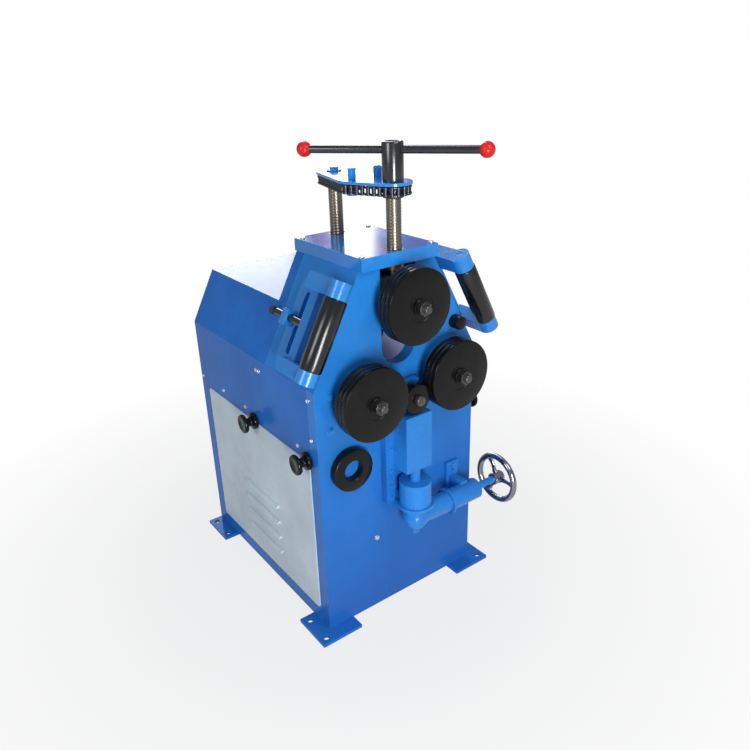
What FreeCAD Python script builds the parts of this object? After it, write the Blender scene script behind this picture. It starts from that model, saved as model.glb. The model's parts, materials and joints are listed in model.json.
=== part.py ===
import FreeCAD, Part
import math
import os
import Sketcher
from types import SimpleNamespace
from FreeCAD import Placement, Rotation, Vector

# Floor-standing three-roll ring roller, millimetres, +Z up, rolls facing -Y.
# The origin lies on the floor at the centre of the anchor bolts.

DRIVING_SIZES = {
    # Cabinet and head
    "cabinet_width": 428, "cabinet_depth": 572,
    "foot_thickness": 8, "shoulder_height": 604, "slant_angle": 62,
    "head_rise": 75, "head_depth": 231, "hood_height": 727,
    "frame_plate": 30, "side_plate": 8, "sheet": 3, "pan_sheet": 5,
    # Cover
    "cover_height": 27, "cover_side_lip": 1.1, "cover_front_lip": 12, "cover_rear_lip": 5,
    "cover_wall": 16, "cover_top": 12,
    # Feet
    "foot_length": 104, "foot_width": 104, "foot_side_lip": 38, "foot_front_lip": 33,
    "anchor_radius": 7, "anchor_side_inset": 17, "anchor_end_inset": 17.5,
    # Doors and their knobs
    "door_start": 34, "door_length": 491, "door_bottom": 48, "door_height": 387,
    "door_sheet": 3, "door_overlap": 14, "door_corner": 10,
    "louvre_start": 158, "louvre_length": 155, "louvre_bottom": 60, "louvre_pitch": 43,
    "louvre_radius": 9, "louvre_count": 4,
    "knob_radius": 22.5, "knob_neck": 10, "knob_length": 34, "knob_rim": 9, "knob_base_radius": 20,
    "knob_stud_radius": 5, "knob_stud_length": 22, "knob_front_y": 37, "knob_rear_y": 272,
    "knob_lift": 5, "knob_standoff": 0.3,
    # Lower shafts and rolls
    "lower_offset": 112, "lower_height": 574, "bearing_radius": 34, "bearing_width": 18,
    "journal_radius": 20, "shoulder_radius": 22.5, "running_fit": 0.05, "gear_seat_radius": 17.5,
    "bearing_cover_radius": 50, "bearing_cover_plate": 8,
    "roll_radius": 79, "roll_disc": 12.67, "roll_edge": 1.6, "roll_standoff": 34, "roll_seat_radius": 15,
    "roll_face_radius": 30, "roll_recess": 1.5, "washer_radius": 18, "washer_thickness": 4,
    "nut_radius": 16, "nut_thickness": 13, "thread_radius": 9, "shaft_end": 8,
    # Gears inside the cabinet
    "gear_module": 3, "gear_teeth": 50, "pinion_teeth": 25, "gear_width": 28, "gear_gap": 12,
    # Top roll carriage
    "top_height": 753, "slot_half_width": 44.5, "slot_drop": 140, "block_clearance": 0.5,
    "block_drop": 30, "block_rise": 50, "keeper_lip": 10, "keeper_thickness": 8, "keeper_gap": 0.3,
    # Feed screws, sprockets, chain and tie plate
    "front_screw_y": 10, "screw_spacing": 203.2, "screw_radius": 15, "journal_end_radius": 12,
    "journal_foot_radius": 8.5, "journal_end_depth": 13.5, "rear_screw_sunk": 0.5,
    "nut_sleeve_radius": 19, "nut_sleeve_drop": 12.8, "screw_neck_rise": 128,
    "chain_pitch": 12.7, "sprocket_teeth": 15, "idler_teeth": 10,
    "chain_rise": 14, "roller_radius": 4.25, "roller_half": 4.7, "link_plate": 1.8,
    "link_half_width": 5.9, "pin_tail": 1.1, "idler_y": 85, "chain_links": 48,
    "tie_plate_thickness": 6, "tie_plate_margin": 1.5, "tie_plate_rise": 30.5,
    # Lever
    "hub_radius": 21, "hub_height": 73, "bar_radius": 7.8, "bar_length": 343, "bar_drop": 15.7,
    "ball_radius": 15, "lever_turn": -53,
    # Centre roller and its slide
    "slide_base_half": 56, "slide_base_bottom": 292, "slide_base_top": 496, "slide_base_thickness": 8,
    "gib_width": 22, "gib_thickness": 12, "gib_lip": 6, "slide_gap": 0.3, "slide_top": 578,
    "slide_bottom": 381, "slide_thickness": 15, "column_half": 35, "column_front": 65, "column_roller_gap": 2,
    "nut_depth": 45, "centre_roller_radius": 33, "centre_roller_drop": 25,
    "centre_roller_width": 26, "centre_roller_y": 36, "centre_pin_radius": 10, "centre_head_radius": 11,
    # Elevating gear of the centre roller
    "gear_case_y": 50, "gear_case_radius": 36, "gear_case_top": 350, "gear_case_bottom": 293,
    "case_flange_radius": 42, "case_flange": 7, "guard_radius": 11.5, "guard_rise": 43, "lower_travel": 30,
    "bevel_case_height": 252, "bevel_case_radius": 30, "bevel_near": 10, "bevel_width": 6,
    "arm_radius": 25, "arm_end": 185, "arm_flange_x": 92, "arm_flange_radius": 31, "arm_flange": 6,
    "arm_foot_x": 130, "arm_foot_width": 36, "arm_foot_height": 76,
    "lift_screw_radius": 7, "wheel_shaft_radius": 9,
    "wheel_x": 258, "wheel_radius": 64, "wheel_rim": 7.5, "wheel_hub_radius": 15, "wheel_hub_length": 30,
    "wheel_spokes": 3, "spoke_radius": 7,
    # Side guide rollers
    "guide_radius": 23, "guide_length": 143, "guide_standoff": 43, "guide_along": 119, "guide_forward": 20,
    "guide_boss_radius": 21.5, "guide_boss_length": 28, "guide_top_boss": 34, "guide_pin_radius": 8,
    "rail_thickness": 14, "rail_start": 45, "rail_length": 105, "rail_along": 20, "rail_height": 190, "rail_window": 28,
    "rail_corner": 12,
    "guide_bar_radius": 8, "guide_bar_rise": 27, "guide_bar_start": 60, "guide_bar_length": 120,
    "guide_lug_start": 124, "guide_lug_length": 20, "guide_lug_width": 34, "guide_lug_wall": 5,
    "guide_back_start": 50, "guide_back_length": 26, "guide_back_top": 36, "guide_arm_low": 22,
    "guide_arm_top": 56, "guide_rail_gap": 0.3,
    # Small fittings
    "spare_ring_radius": 48.6, "spare_ring_bore": 23, "spare_ring_width": 20, "spare_ring_x": -140,
    "spare_ring_height": 411, "stop_radius": 15, "stop_length": 26, "stop_x": 153, "stop_height": 671,
    "lock_screw_radius": 5, "lock_screw_head": 9, "lock_screw_along": 117,
    "bolt_head_radius": 8, "bolt_head_height": 6, "screw_head_radius": 5.5, "screw_head_height": 3,
    "bolt_side_inset": 34, "bolt_low_drop": 94, "bolt_high_drop": 16, "gib_bolt_radius": 4.5,
    "panel_screw_drop": 148, "plug_x": -74, "plug_height": 199,
}

doc = FreeCAD.newDocument("RingRoller")
sheet = doc.addObject("Spreadsheet::Sheet", "Sizes")


class Size:
    """A number together with the sheet expression that gives it."""

    def __init__(self, text, value):
        self.text = text
        self.value = value

    def __add__(self, other):
        return joined(self, "+", other)

    def __radd__(self, other):
        return joined(other, "+", self)

    def __sub__(self, other):
        return joined(self, "-", other)

    def __rsub__(self, other):
        return joined(other, "-", self)

    def __mul__(self, other):
        return joined(self, "*", other)

    def __rmul__(self, other):
        return joined(other, "*", self)

    def __truediv__(self, other):
        return joined(self, "/", other)

    def __rtruediv__(self, other):
        return joined(other, "/", self)

    def __neg__(self):
        return joined(0, "-", self)

    def __float__(self):
        return float(self.value)


def sized(amount):
    """Any number as a Size."""
    if isinstance(amount, Size):
        return amount
    return Size(f"({float(amount)})", float(amount))


def joined(left, sign, right):
    """Two amounts joined by a sign, as an expression and as a number."""
    first, second = sized(left), sized(right)
    results = {
        "+": lambda: first.value + second.value,
        "-": lambda: first.value - second.value,
        "*": lambda: first.value * second.value,
        "/": lambda: first.value / second.value,
    }
    return Size(f"({first.text} {sign} {second.text})", results[sign]())


def sine(angle):
    return Size(f"sin({sized(angle).text})", math.sin(math.radians(float(angle))))


def cosine(angle):
    return Size(f"cos({sized(angle).text})", math.cos(math.radians(float(angle))))


def tangent(angle):
    return Size(f"tan({sized(angle).text})", math.tan(math.radians(float(angle))))


def root(amount):
    return Size(f"sqrt({sized(amount).text})", math.sqrt(float(amount)))


def fill_sheet():
    """Write the driving sizes as text cells with aliases, and give them back as Sizes."""
    known = {}
    for row, (alias, number) in enumerate(DRIVING_SIZES.items(), start=1):
        sheet.set(f"A{row}", alias)
        sheet.set(f"B{row}", str(number))
        sheet.setAlias(f"B{row}", alias)
        known[alias] = Size(f"Sizes.{alias}", float(number))
    doc.recompute()
    return SimpleNamespace(**known)


size = fill_sheet()
nodes = []

# Heights that follow the top roll, and the centre roller's, which follows the lower rolls
size.head_height = size.top_height + size.head_rise
size.slot_floor = size.top_height - size.slot_drop
size.screw_neck_height = size.head_height + size.screw_neck_rise
size.chain_height = size.screw_neck_height + size.chain_rise
size.tie_plate_top = size.screw_neck_height + size.tie_plate_rise
size.centre_roller_height = size.lower_height - size.centre_roller_drop

# Directions of a primitive's own axis
TURNS = {
    "Z": Rotation(),
    "X": Rotation(Vector(0, 1, 0), 90),
    "Y": Rotation(Vector(1, 0, 0), -90),
}


def bind(thing, name, amount):
    """Tie one property to the sheet."""
    thing.setExpression(name, sized(amount).text)


def place(thing, x, y, z, turn=None):
    """Put a thing at a place worked out from the sheet, turned as asked."""
    thing.Placement = Placement(Vector(float(x), float(y), float(z)), turn or Rotation())
    for axis, amount in zip("xyz", (x, y, z)):
        bind(thing, f".Placement.Base.{axis}", amount)
    return thing


def box(x, y, z, length, width, height):
    """Box from its lowest corner and its three lengths."""
    made = doc.addObject("Part::Box", "Box")
    bind(made, "Length", length)
    bind(made, "Width", width)
    bind(made, "Height", height)
    return place(made, x, y, z)


def rod(x, y, z, radius, length, along="Z"):
    """Cylinder from the centre of its first end."""
    made = doc.addObject("Part::Cylinder", "Rod")
    bind(made, "Radius", radius)
    bind(made, "Height", length)
    return place(made, x, y, z, TURNS[along])


def cone(x, y, z, first, second, length, along="Z"):
    """Truncated cone from the centre of its first end."""
    made = doc.addObject("Part::Cone", "Cone")
    bind(made, "Radius1", first)
    bind(made, "Radius2", second)
    bind(made, "Height", length)
    return place(made, x, y, z, TURNS[along])


def ball(x, y, z, radius):
    made = doc.addObject("Part::Sphere", "Ball")
    bind(made, "Radius", radius)
    return place(made, x, y, z)


def hexagon(x, y, z, radius, height, along="Z"):
    """Hexagonal prism, as a bolt head or a nut, from the centre of its first end."""
    made = doc.addObject("Part::Prism", "Hexagon")
    made.Polygon = 6
    bind(made, "Circumradius", radius)
    bind(made, "Height", height)
    return place(made, x, y, z, TURNS[along])


def torus(x, y, z, radius, section, along="Z"):
    made = doc.addObject("Part::Torus", "Torus")
    bind(made, "Radius1", radius)
    bind(made, "Radius2", section)
    return place(made, x, y, z, TURNS[along])


def fused(*pieces):
    """One solid from pieces that meet."""
    made = doc.addObject("Part::MultiFuse", "Fused")
    made.Shapes = list(pieces)
    return made


def together(*pieces):
    """Separate solids kept side by side."""
    made = doc.addObject("Part::Compound", "Group")
    made.Links = list(pieces)
    return made


def cut(base, *tools):
    """A piece with tools taken out of it."""
    made = doc.addObject("Part::Cut", "Cut")
    made.Base = base
    made.Tool = tools[0] if len(tools) == 1 else together(*tools)
    return made


def origin_plane(body, role):
    """One of a body's own origin planes or axes."""
    return next(item for item in body.Origin.OriginFeatures if item.Role == role)


def outline_sketch(body, plane, corners):
    """Closed outline through corners, each held at its place by the sheet."""
    sketch = body.newObject("Sketcher::SketchObject", "Outline")
    sketch.AttachmentSupport = [(origin_plane(body, plane), "")]
    sketch.MapMode = "FlatFace"
    count = len(corners)
    spots = [Vector(float(a), float(b), 0) for a, b in corners]
    for n in range(count):
        sketch.addGeometry(Part.LineSegment(spots[n], spots[(n + 1) % count]), False)
    for n in range(count):
        sketch.addConstraint(Sketcher.Constraint("Coincident", n, 2, (n + 1) % count, 1))
    for n, (across, up) in enumerate(corners):
        for kind, amount in (("DistanceX", across), ("DistanceY", up)):
            if not isinstance(amount, Size) and abs(float(amount)) < 1e-9:
                line = -2 if kind == "DistanceX" else -1
                sketch.addConstraint(Sketcher.Constraint("PointOnObject", n, 1, line))
                continue
            index = sketch.addConstraint(Sketcher.Constraint(kind, -1, 1, n, 1, float(amount)))
            bind(sketch, f"Constraints[{index}]", amount)
    return sketch


def plate(y, thickness, corners):
    """Flat plate whose outline lies across X and Z, from y backwards."""
    body = doc.addObject("PartDesign::Body", "Plate")
    sketch = outline_sketch(body, "XZ_Plane", corners)
    pad = body.newObject("PartDesign::Pad", "Pad")
    pad.Profile = sketch
    pad.Reversed = True
    bind(pad, "Length", thickness)
    sketch.Visibility = False
    return place(body, 0, y, 0)


def turned(profile, x, y, z, along="Z"):
    """Turned piece from a half outline of (radius, height) points."""
    body = doc.addObject("PartDesign::Body", "Turned")
    sketch = outline_sketch(body, "XZ_Plane", profile)
    spin = body.newObject("PartDesign::Revolution", "Revolution")
    spin.Profile = sketch
    spin.ReferenceAxis = (sketch, ["V_Axis"])
    spin.Angle = 360
    sketch.Visibility = False
    return place(body, x, y, z, TURNS[along])


def formed(shape):
    """A shape made directly, where neither a body nor a primitive fits."""
    made = doc.addObject("Part::Feature", "Formed")
    made.Shape = shape
    return made


def node(name, thing):
    """Give a finished sub-part the name of its file."""
    thing.Label = name
    nodes.append((name, thing))
    return thing


# Places worked out from the driving sizes

half_width = size.cabinet_width / 2
front_y = (size.foot_front_lip - size.cabinet_depth) / 2
rear_y = front_y + size.cabinet_depth
rear_frame_y = front_y + size.head_depth - size.frame_plate
slope = tangent(size.slant_angle)
head_half = half_width - (size.head_height - size.shoulder_height) / slope
cover_half = head_half + size.cover_side_lip
hood_half = half_width - (size.hood_height - size.shoulder_height) / slope
slot_centre = size.slot_floor + size.slot_half_width
roll_width = 3 * size.roll_disc
roll_back_y = front_y - size.roll_standoff
roll_front_y = roll_back_y - roll_width
block_half = size.slot_half_width - size.block_clearance
block_top = size.top_height + size.block_rise
front_screw_y = front_y + size.front_screw_y
rear_screw_y = front_screw_y + size.screw_spacing
cover_top_height = size.head_height + size.cover_height
gear_radius = size.gear_module * size.gear_teeth / 2
pinion_radius = size.gear_module * size.pinion_teeth / 2
gear_y = front_y + size.head_depth + size.gear_gap
mesh_distance = gear_radius + pinion_radius
pinion_drop = root(mesh_distance * mesh_distance - size.lower_offset * size.lower_offset)
pinion_height = size.lower_height - pinion_drop
door_knob_height = size.door_bottom + size.door_height + size.knob_lift


def frame_outline(bottom, low_half):
    """Outline of a frame plate: straight sides up to the shoulders, then the two slopes."""
    right = [(low_half, bottom), (half_width, size.shoulder_height), (head_half, size.head_height)]
    if low_half is not half_width:
        right.insert(1, (low_half, size.shoulder_height))
    left = [(-across, up) for across, up in reversed(right)]
    return right + left


def frame_plate(bottom, low_half, y):
    """Thick plate with the slot of the top block and the bores of the lower shafts."""
    slot_height = size.head_height - slot_centre + 10
    tools = [
        box(-size.slot_half_width, y - 1, slot_centre, 2 * size.slot_half_width, size.frame_plate + 2, slot_height),
        rod(0, y - 1, slot_centre, size.slot_half_width, size.frame_plate + 2, "Y"),
    ]
    for side in (-1, 1):
        tools.append(rod(side * size.lower_offset, y - 1, size.lower_height,
                         size.bearing_radius, size.frame_plate + 2, "Y"))
    return cut(plate(y, size.frame_plate, frame_outline(bottom, low_half)), *tools)


def slanted(thing, side, along_y):
    """Lay a piece modelled flat (x out of the slope, z up it) on one slanted side of the head."""
    tilt = 90 - float(size.slant_angle)
    turn = Rotation(Vector(0, -side, 0), tilt)
    place(thing, side * half_width, along_y, size.shoulder_height, turn)
    thing.setExpression(".Placement.Rotation.Angle", f"90 - {size.slant_angle.text}")
    return thing


def outward(side, low, depth):
    """Lowest local x of a piece that runs from low to low + depth out of the slope."""
    return low if side > 0 else -(low + depth)


# Cabinet and head

def add_frame():
    node("front_plate", frame_plate(size.foot_thickness, half_width, front_y))
    rear_bottom = size.lower_height - 2 * size.bearing_radius
    rear = frame_plate(rear_bottom, half_width - size.sheet, rear_frame_y)
    sockets = []
    for side in (-1, 1):
        socket = rod(outward(side, -20.0, 30.0), rear_frame_y - front_y + size.frame_plate / 2,
                     size.lock_screw_along, size.lock_screw_radius + size.running_fit, 30, "X")
        sockets.append(slanted(together(socket), side, front_y))
    node("rear_frame_plate", cut(rear, *sockets))
    plates = []
    slant_length = (size.head_height - size.shoulder_height) / sine(size.slant_angle)
    span = size.head_depth - 2 * size.frame_plate
    for side in (-1, 1):
        leaf = box(outward(side, -size.side_plate, size.side_plate), 0, -10,
                   size.side_plate, span, slant_length + 20)
        plates.append(slanted(together(leaf), side, front_y + size.frame_plate))
    below = box(-half_width - 20, front_y, size.shoulder_height - 40, size.cabinet_width + 40, size.head_depth, 40)
    above = box(-half_width, front_y, size.head_height, size.cabinet_width, size.head_depth, 40)
    node("head_side_plates", cut(together(*plates), below, above))


def add_cover():
    bottom = size.head_height
    length = size.cover_front_lip + size.head_depth + size.cover_rear_lip
    start = front_y - size.cover_front_lip
    slab = box(-cover_half, start, bottom, 2 * cover_half, length, size.cover_height)
    hollow_start = front_y + size.frame_plate + size.cover_wall
    hollow_length = size.head_depth - 2 * size.frame_plate - 2 * size.cover_wall
    hollow = box(-head_half + size.cover_wall, hollow_start, bottom - 1,
                 2 * head_half - 2 * size.cover_wall, hollow_length, size.cover_height - size.cover_top + 1)
    bores = [rod(0, y, bottom - 1, size.nut_sleeve_radius, size.cover_height + 2)
             for y in (front_screw_y, rear_screw_y)]
    node("top_cover", cut(slab, hollow, *bores))
    sleeves = []
    for y in (front_screw_y, rear_screw_y):
        sleeve = rod(0, y, bottom - size.nut_sleeve_drop, size.nut_sleeve_radius,
                     size.cover_height + size.nut_sleeve_drop - 1)
        bore = rod(0, y, bottom - size.nut_sleeve_drop - 1, size.screw_radius + size.running_fit,
                   size.cover_height + size.nut_sleeve_drop + 2)
        sleeves.append(cut(sleeve, bore))
    node("feed_nuts", together(*sleeves))


def rounded_leaf(x, y, z, thickness, length, height, corner):
    """Upright sheet with rounded corners, in the plane of Y and Z."""
    wide = box(x, y, z + corner, thickness, length, height - 2 * corner)
    tall = box(x, y + corner, z, thickness, length - 2 * corner, height)
    corners = []
    for across in (y + corner, y + length - corner):
        for up in (z + corner, z + height - corner):
            corners.append(rod(x, across, up, corner, thickness, "X"))
    return fused(wide, tall, *corners)


def add_panels():
    panel_y = front_y + size.frame_plate
    panel_length = size.cabinet_depth - size.frame_plate - size.sheet
    panel_height = size.shoulder_height - size.foot_thickness
    panels = []
    for side in (-1, 1):
        x = half_width - size.sheet if side > 0 else -half_width
        skin = box(x, panel_y, size.foot_thickness, size.sheet, panel_length, panel_height)
        opening = rounded_leaf(x - 1, front_y + size.door_start + size.door_overlap,
                               size.door_bottom + size.door_overlap, size.sheet + 2,
                               size.door_length - 2 * size.door_overlap,
                               size.door_height - 2 * size.door_overlap, size.door_corner)
        tools = [opening]
        for y in (size.knob_front_y, size.knob_rear_y):
            tools.append(rod(x - 1, front_y + y, door_knob_height,
                             size.knob_stud_radius + size.running_fit, size.sheet + 2, "X"))
        panels.append(cut(skin, *tools))
    node("side_panels", together(*panels))
    back = box(-half_width, rear_y - size.sheet, size.foot_thickness,
               size.cabinet_width, size.sheet, panel_height)
    node("rear_panel", back)


def add_hood():
    start = front_y + size.head_depth
    length = size.cabinet_depth - size.head_depth
    outer = [(-half_width, size.shoulder_height), (half_width, size.shoulder_height),
             (hood_half, size.hood_height), (-hood_half, size.hood_height)]
    edge = size.sheet / sine(size.slant_angle)
    low_half = half_width - edge
    top = size.hood_height - size.sheet
    inner_half = hood_half + size.sheet / slope - edge
    inner = [(-low_half, size.shoulder_height - 1), (low_half, size.shoulder_height - 1),
             (low_half, size.shoulder_height), (inner_half, top), (-inner_half, top),
             (-low_half, size.shoulder_height)]
    shell = plate(start, length, outer)
    hollow = plate(start - 1, length - size.sheet + 1, inner)
    node("hood", cut(shell, hollow))


def add_feet():
    feet = []
    outer = half_width + size.foot_side_lip
    starts = (front_y - size.foot_front_lip, rear_y - size.foot_length)
    for side in (-1, 1):
        x = outer - size.foot_width if side > 0 else -outer
        for y in starts:
            pad = box(x, y, 0, size.foot_width, size.foot_length, size.foot_thickness)
            ends = (y + size.anchor_end_inset, y + size.foot_length - size.anchor_end_inset)
            holes = [rod(side * (outer - size.anchor_side_inset), end, -1,
                         size.anchor_radius, size.foot_thickness + 2) for end in ends]
            feet.append(cut(pad, *holes))
    node("foot_plates", together(*feet))


def add_doors():
    doors = []
    for side in (-1, 1):
        x = half_width if side > 0 else -half_width - size.door_sheet
        y = front_y + size.door_start
        leaf = rounded_leaf(x, y, size.door_bottom, size.door_sheet,
                            size.door_length, size.door_height, size.door_corner)
        hoods = []
        slots = []
        for index in range(int(float(size.louvre_count))):
            height = size.door_bottom + size.louvre_bottom + index * size.louvre_pitch
            face = half_width + size.door_sheet
            radius = size.louvre_radius
            start = y + size.louvre_start
            lip = half_round_hood(side, side * face, start, height, radius)
            hoods.append(lip)
            slots.append(box(
                x - 1, start + 3, height + 1, size.door_sheet + 2, size.louvre_length - 6, radius - 2))
        for notch_y in (size.knob_front_y, size.knob_rear_y):
            reach = size.knob_stud_radius + 3 * size.running_fit
            slots.append(rod(
                x - 1, front_y + notch_y, door_knob_height, reach + size.knob_lift, size.door_sheet + 2, "X"))
        doors.append(fused(cut(leaf, *slots), *hoods))
    node("side_doors", together(*doors))


def half_round_hood(side, face, y, z, radius):
    """Louvre hood: a quarter of a tube with closed ends, its mouth facing down."""
    wall = 1.5
    outer = rod(face, y, z, radius, size.louvre_length, "Y")
    inner = rod(face, y + wall, z, radius - wall, size.louvre_length - 2 * wall, "Y")
    below = box(face - radius - 1, y - 1, z - radius - 1, 2 * radius + 2, size.louvre_length + 2, radius + 1)
    behind_x = face - radius - 1 if side > 0 else face
    behind = box(behind_x, y - 1, z - 1, radius + 1, size.louvre_length + 2, radius + 2)
    return cut(outer, inner, below, behind)


def knob_profile():
    """Spool-shaped knob with its stud, turned about its own axis and pointing outwards."""
    rim, neck, base = size.knob_radius, size.knob_neck, size.knob_base_radius
    length, lip = size.knob_length, size.knob_rim
    return [
        (0, -size.knob_stud_length), (size.knob_stud_radius, -size.knob_stud_length),
        (size.knob_stud_radius, 0), (base - 2, 0), (base, 2), (base, lip - 2), (base - 2, lip),
        (neck, lip + 2), (neck, length - lip - 2), (rim - 2, length - lip), (rim, length - lip + 2),
        (rim, length - 2), (rim - 3, length), (0, length),
    ]


def add_knobs():
    for side, word in ((-1, "left"), (1, "right")):
        for y, spot in ((size.knob_front_y, "front"), (size.knob_rear_y, "rear")):
            face = half_width + size.door_sheet + size.knob_standoff
            knob = turned(knob_profile(), side * face, front_y + y, door_knob_height)
            knob.Placement.Rotation = Rotation(Vector(0, 1, 0), side * 90)
            node(f"door_knob_{word}_{spot}", knob)


# Lower shafts, rolls and gears

def add_lower_supports():
    rings = []
    covers = []
    inset = (size.frame_plate - size.bearing_width) / 2
    for side in (-1, 1):
        x = side * size.lower_offset
        for y in (front_y + inset, rear_frame_y + inset):
            outer = rod(x, y, size.lower_height, size.bearing_radius, size.bearing_width, "Y")
            bore = rod(x, y - 1, size.lower_height, size.journal_radius + size.running_fit,
                       size.bearing_width + 2, "Y")
            rings.append(cut(outer, bore))
        start = front_y - size.bearing_cover_plate
        disc = rod(x, start, size.lower_height, size.bearing_cover_radius, size.bearing_cover_plate, "Y")
        spigot = rod(x, front_y, size.lower_height, size.bearing_radius, inset, "Y")
        bore = rod(x, start - 1, size.lower_height, size.shoulder_radius + 1, size.frame_plate, "Y")
        covers.append(cut(fused(disc, spigot), bore))
    node("lower_bearings", together(*rings))
    node("bearing_covers", together(*covers))


def shaft_profile(rear_length, seat_start):
    """Stepped roll shaft; heights run from the front plate's face, backwards positive."""
    shoulder = size.roll_standoff
    nose = shoulder + roll_width - size.roll_recess - 0.3
    thread_end = shoulder + roll_width + size.washer_thickness + size.nut_thickness + size.shaft_end
    inset = (size.frame_plate - size.bearing_width) / 2
    return [
        (0, -thread_end), (size.thread_radius - 2, -thread_end), (size.thread_radius, 2 - thread_end),
        (size.thread_radius, -nose), (size.roll_seat_radius, -nose), (size.roll_seat_radius, -shoulder),
        (size.shoulder_radius, -shoulder), (size.shoulder_radius, inset - 1), (size.journal_radius, inset - 1),
        (size.journal_radius, seat_start), (size.gear_seat_radius, seat_start),
        (size.gear_seat_radius, rear_length), (0, rear_length),
    ]


def roll_discs(x, z):
    """Stack of three discs with eased edges, the washer and the nut of one roll."""
    pieces = []
    for index in range(3):
        start = roll_front_y + index * size.roll_disc
        edge, radius, width = size.roll_edge, size.roll_radius, size.roll_disc
        bore = size.roll_seat_radius + size.running_fit / 5
        outline = [(bore, 0), (radius - edge, 0), (radius, edge), (radius, width - edge),
                   (radius - edge, width), (bore, width)]
        if index == 0:
            face, dip = size.roll_face_radius, size.roll_recess
            outline = [(bore, dip), (face, dip), (face + dip, 0)] + outline[1:]
        pieces.append(turned(outline, x, start, z, "Y"))
    washer = cut(rod(x, roll_front_y + size.roll_recess - size.washer_thickness, z,
                     size.washer_radius, size.washer_thickness, "Y"),
                 rod(x, roll_front_y - 10, z, size.thread_radius + size.running_fit, 20, "Y"))
    nut_y = roll_front_y + size.roll_recess - size.washer_thickness - size.nut_thickness
    nut = cut(hexagon(x, nut_y, z, size.nut_radius, size.nut_thickness, "Y"),
              rod(x, nut_y - 1, z, size.thread_radius + size.running_fit, size.nut_thickness + 2, "Y"))
    return pieces + [washer, nut]


def gear_blank(x, z, teeth, radius):
    """Spur gear whose teeth are cut inwards from just inside the pitch circle."""
    count = int(float(teeth))
    tip = float(radius) - 0.15
    foot = tip - 1.6 * float(size.gear_module)
    points = []
    step = 2 * math.pi / count
    for index in range(count):
        middle = index * step
        for share, reach in ((-0.36, foot), (-0.16, tip), (0.16, tip), (0.36, foot)):
            angle = middle + share * step
            points.append(Vector(reach * math.cos(angle), 0, reach * math.sin(angle)))
    wire = Part.makePolygon(points + points[:1])
    solid = Part.Face(wire).extrude(Vector(0, float(size.gear_width), 0))
    bore = Part.makeCylinder(float(size.gear_seat_radius) + 0.01, float(size.gear_width) + 2,
                             Vector(0, -1, 0), Vector(0, 1, 0))
    made = formed(solid.cut(bore))
    return place(made, x, gear_y, z)


def add_lower_shafts():
    seat = gear_y - front_y
    for side, word in ((-1, "left"), (1, "right")):
        x = side * size.lower_offset
        profile = shaft_profile(seat + size.gear_width + 6, seat)
        node(f"lower_shaft_{word}", turned(profile, x, front_y, size.lower_height, "Y"))
        node(f"lower_roll_{word}", together(*roll_discs(x, size.lower_height)))
        node(f"lower_gear_{word}", gear_blank(x, size.lower_height, size.gear_teeth, gear_radius))


def add_drive():
    """Motor, reducer and pinion that turn both lower shafts."""
    reducer_y = gear_y + size.gear_width + 14
    case = box(-75, reducer_y, pinion_height - 80, 150, 120, 160)
    flange = rod(0, reducer_y - 6, pinion_height, 48, 8, "Y")
    bore = rod(0, reducer_y - 8, pinion_height, size.gear_seat_radius + 2, 60, "Y")
    reducer = cut(fused(case, flange), bore)
    pinion = gear_blank(0, pinion_height, size.pinion_teeth, pinion_radius)
    stub = turned([(0, 0), (size.gear_seat_radius, 0), (size.gear_seat_radius, size.gear_width + 50),
                   (0, size.gear_width + 50)], 0, gear_y, pinion_height, "Y")
    node("drive_pinion", together(pinion, stub))
    motor_y = reducer_y + 60
    barrel = rod(0, motor_y, pinion_height - 80 - 236, 72, 236)
    foot_flange = rod(0, motor_y, pinion_height - 80 - 12, 85, 12)
    terminals = box(60, motor_y - 35, pinion_height - 80 - 170, 45, 70, 80)
    node("geared_motor", together(reducer, fused(barrel, foot_flange, terminals)))
    shelf_top = pinion_height - 80
    shelf_half = half_width - size.sheet
    shelf = box(-shelf_half, reducer_y - 10, shelf_top - 24, 2 * shelf_half, 150, 12)
    hole = rod(0, motor_y, shelf_top - 30, 73, 30)
    floor = box(-shelf_half, front_y + size.frame_plate, size.foot_thickness,
                2 * shelf_half, size.cabinet_depth - size.frame_plate - size.sheet, size.pan_sheet)
    node("pan_and_shelf", together(floor, cut(shelf, hole)))


# Top roll carriage

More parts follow.
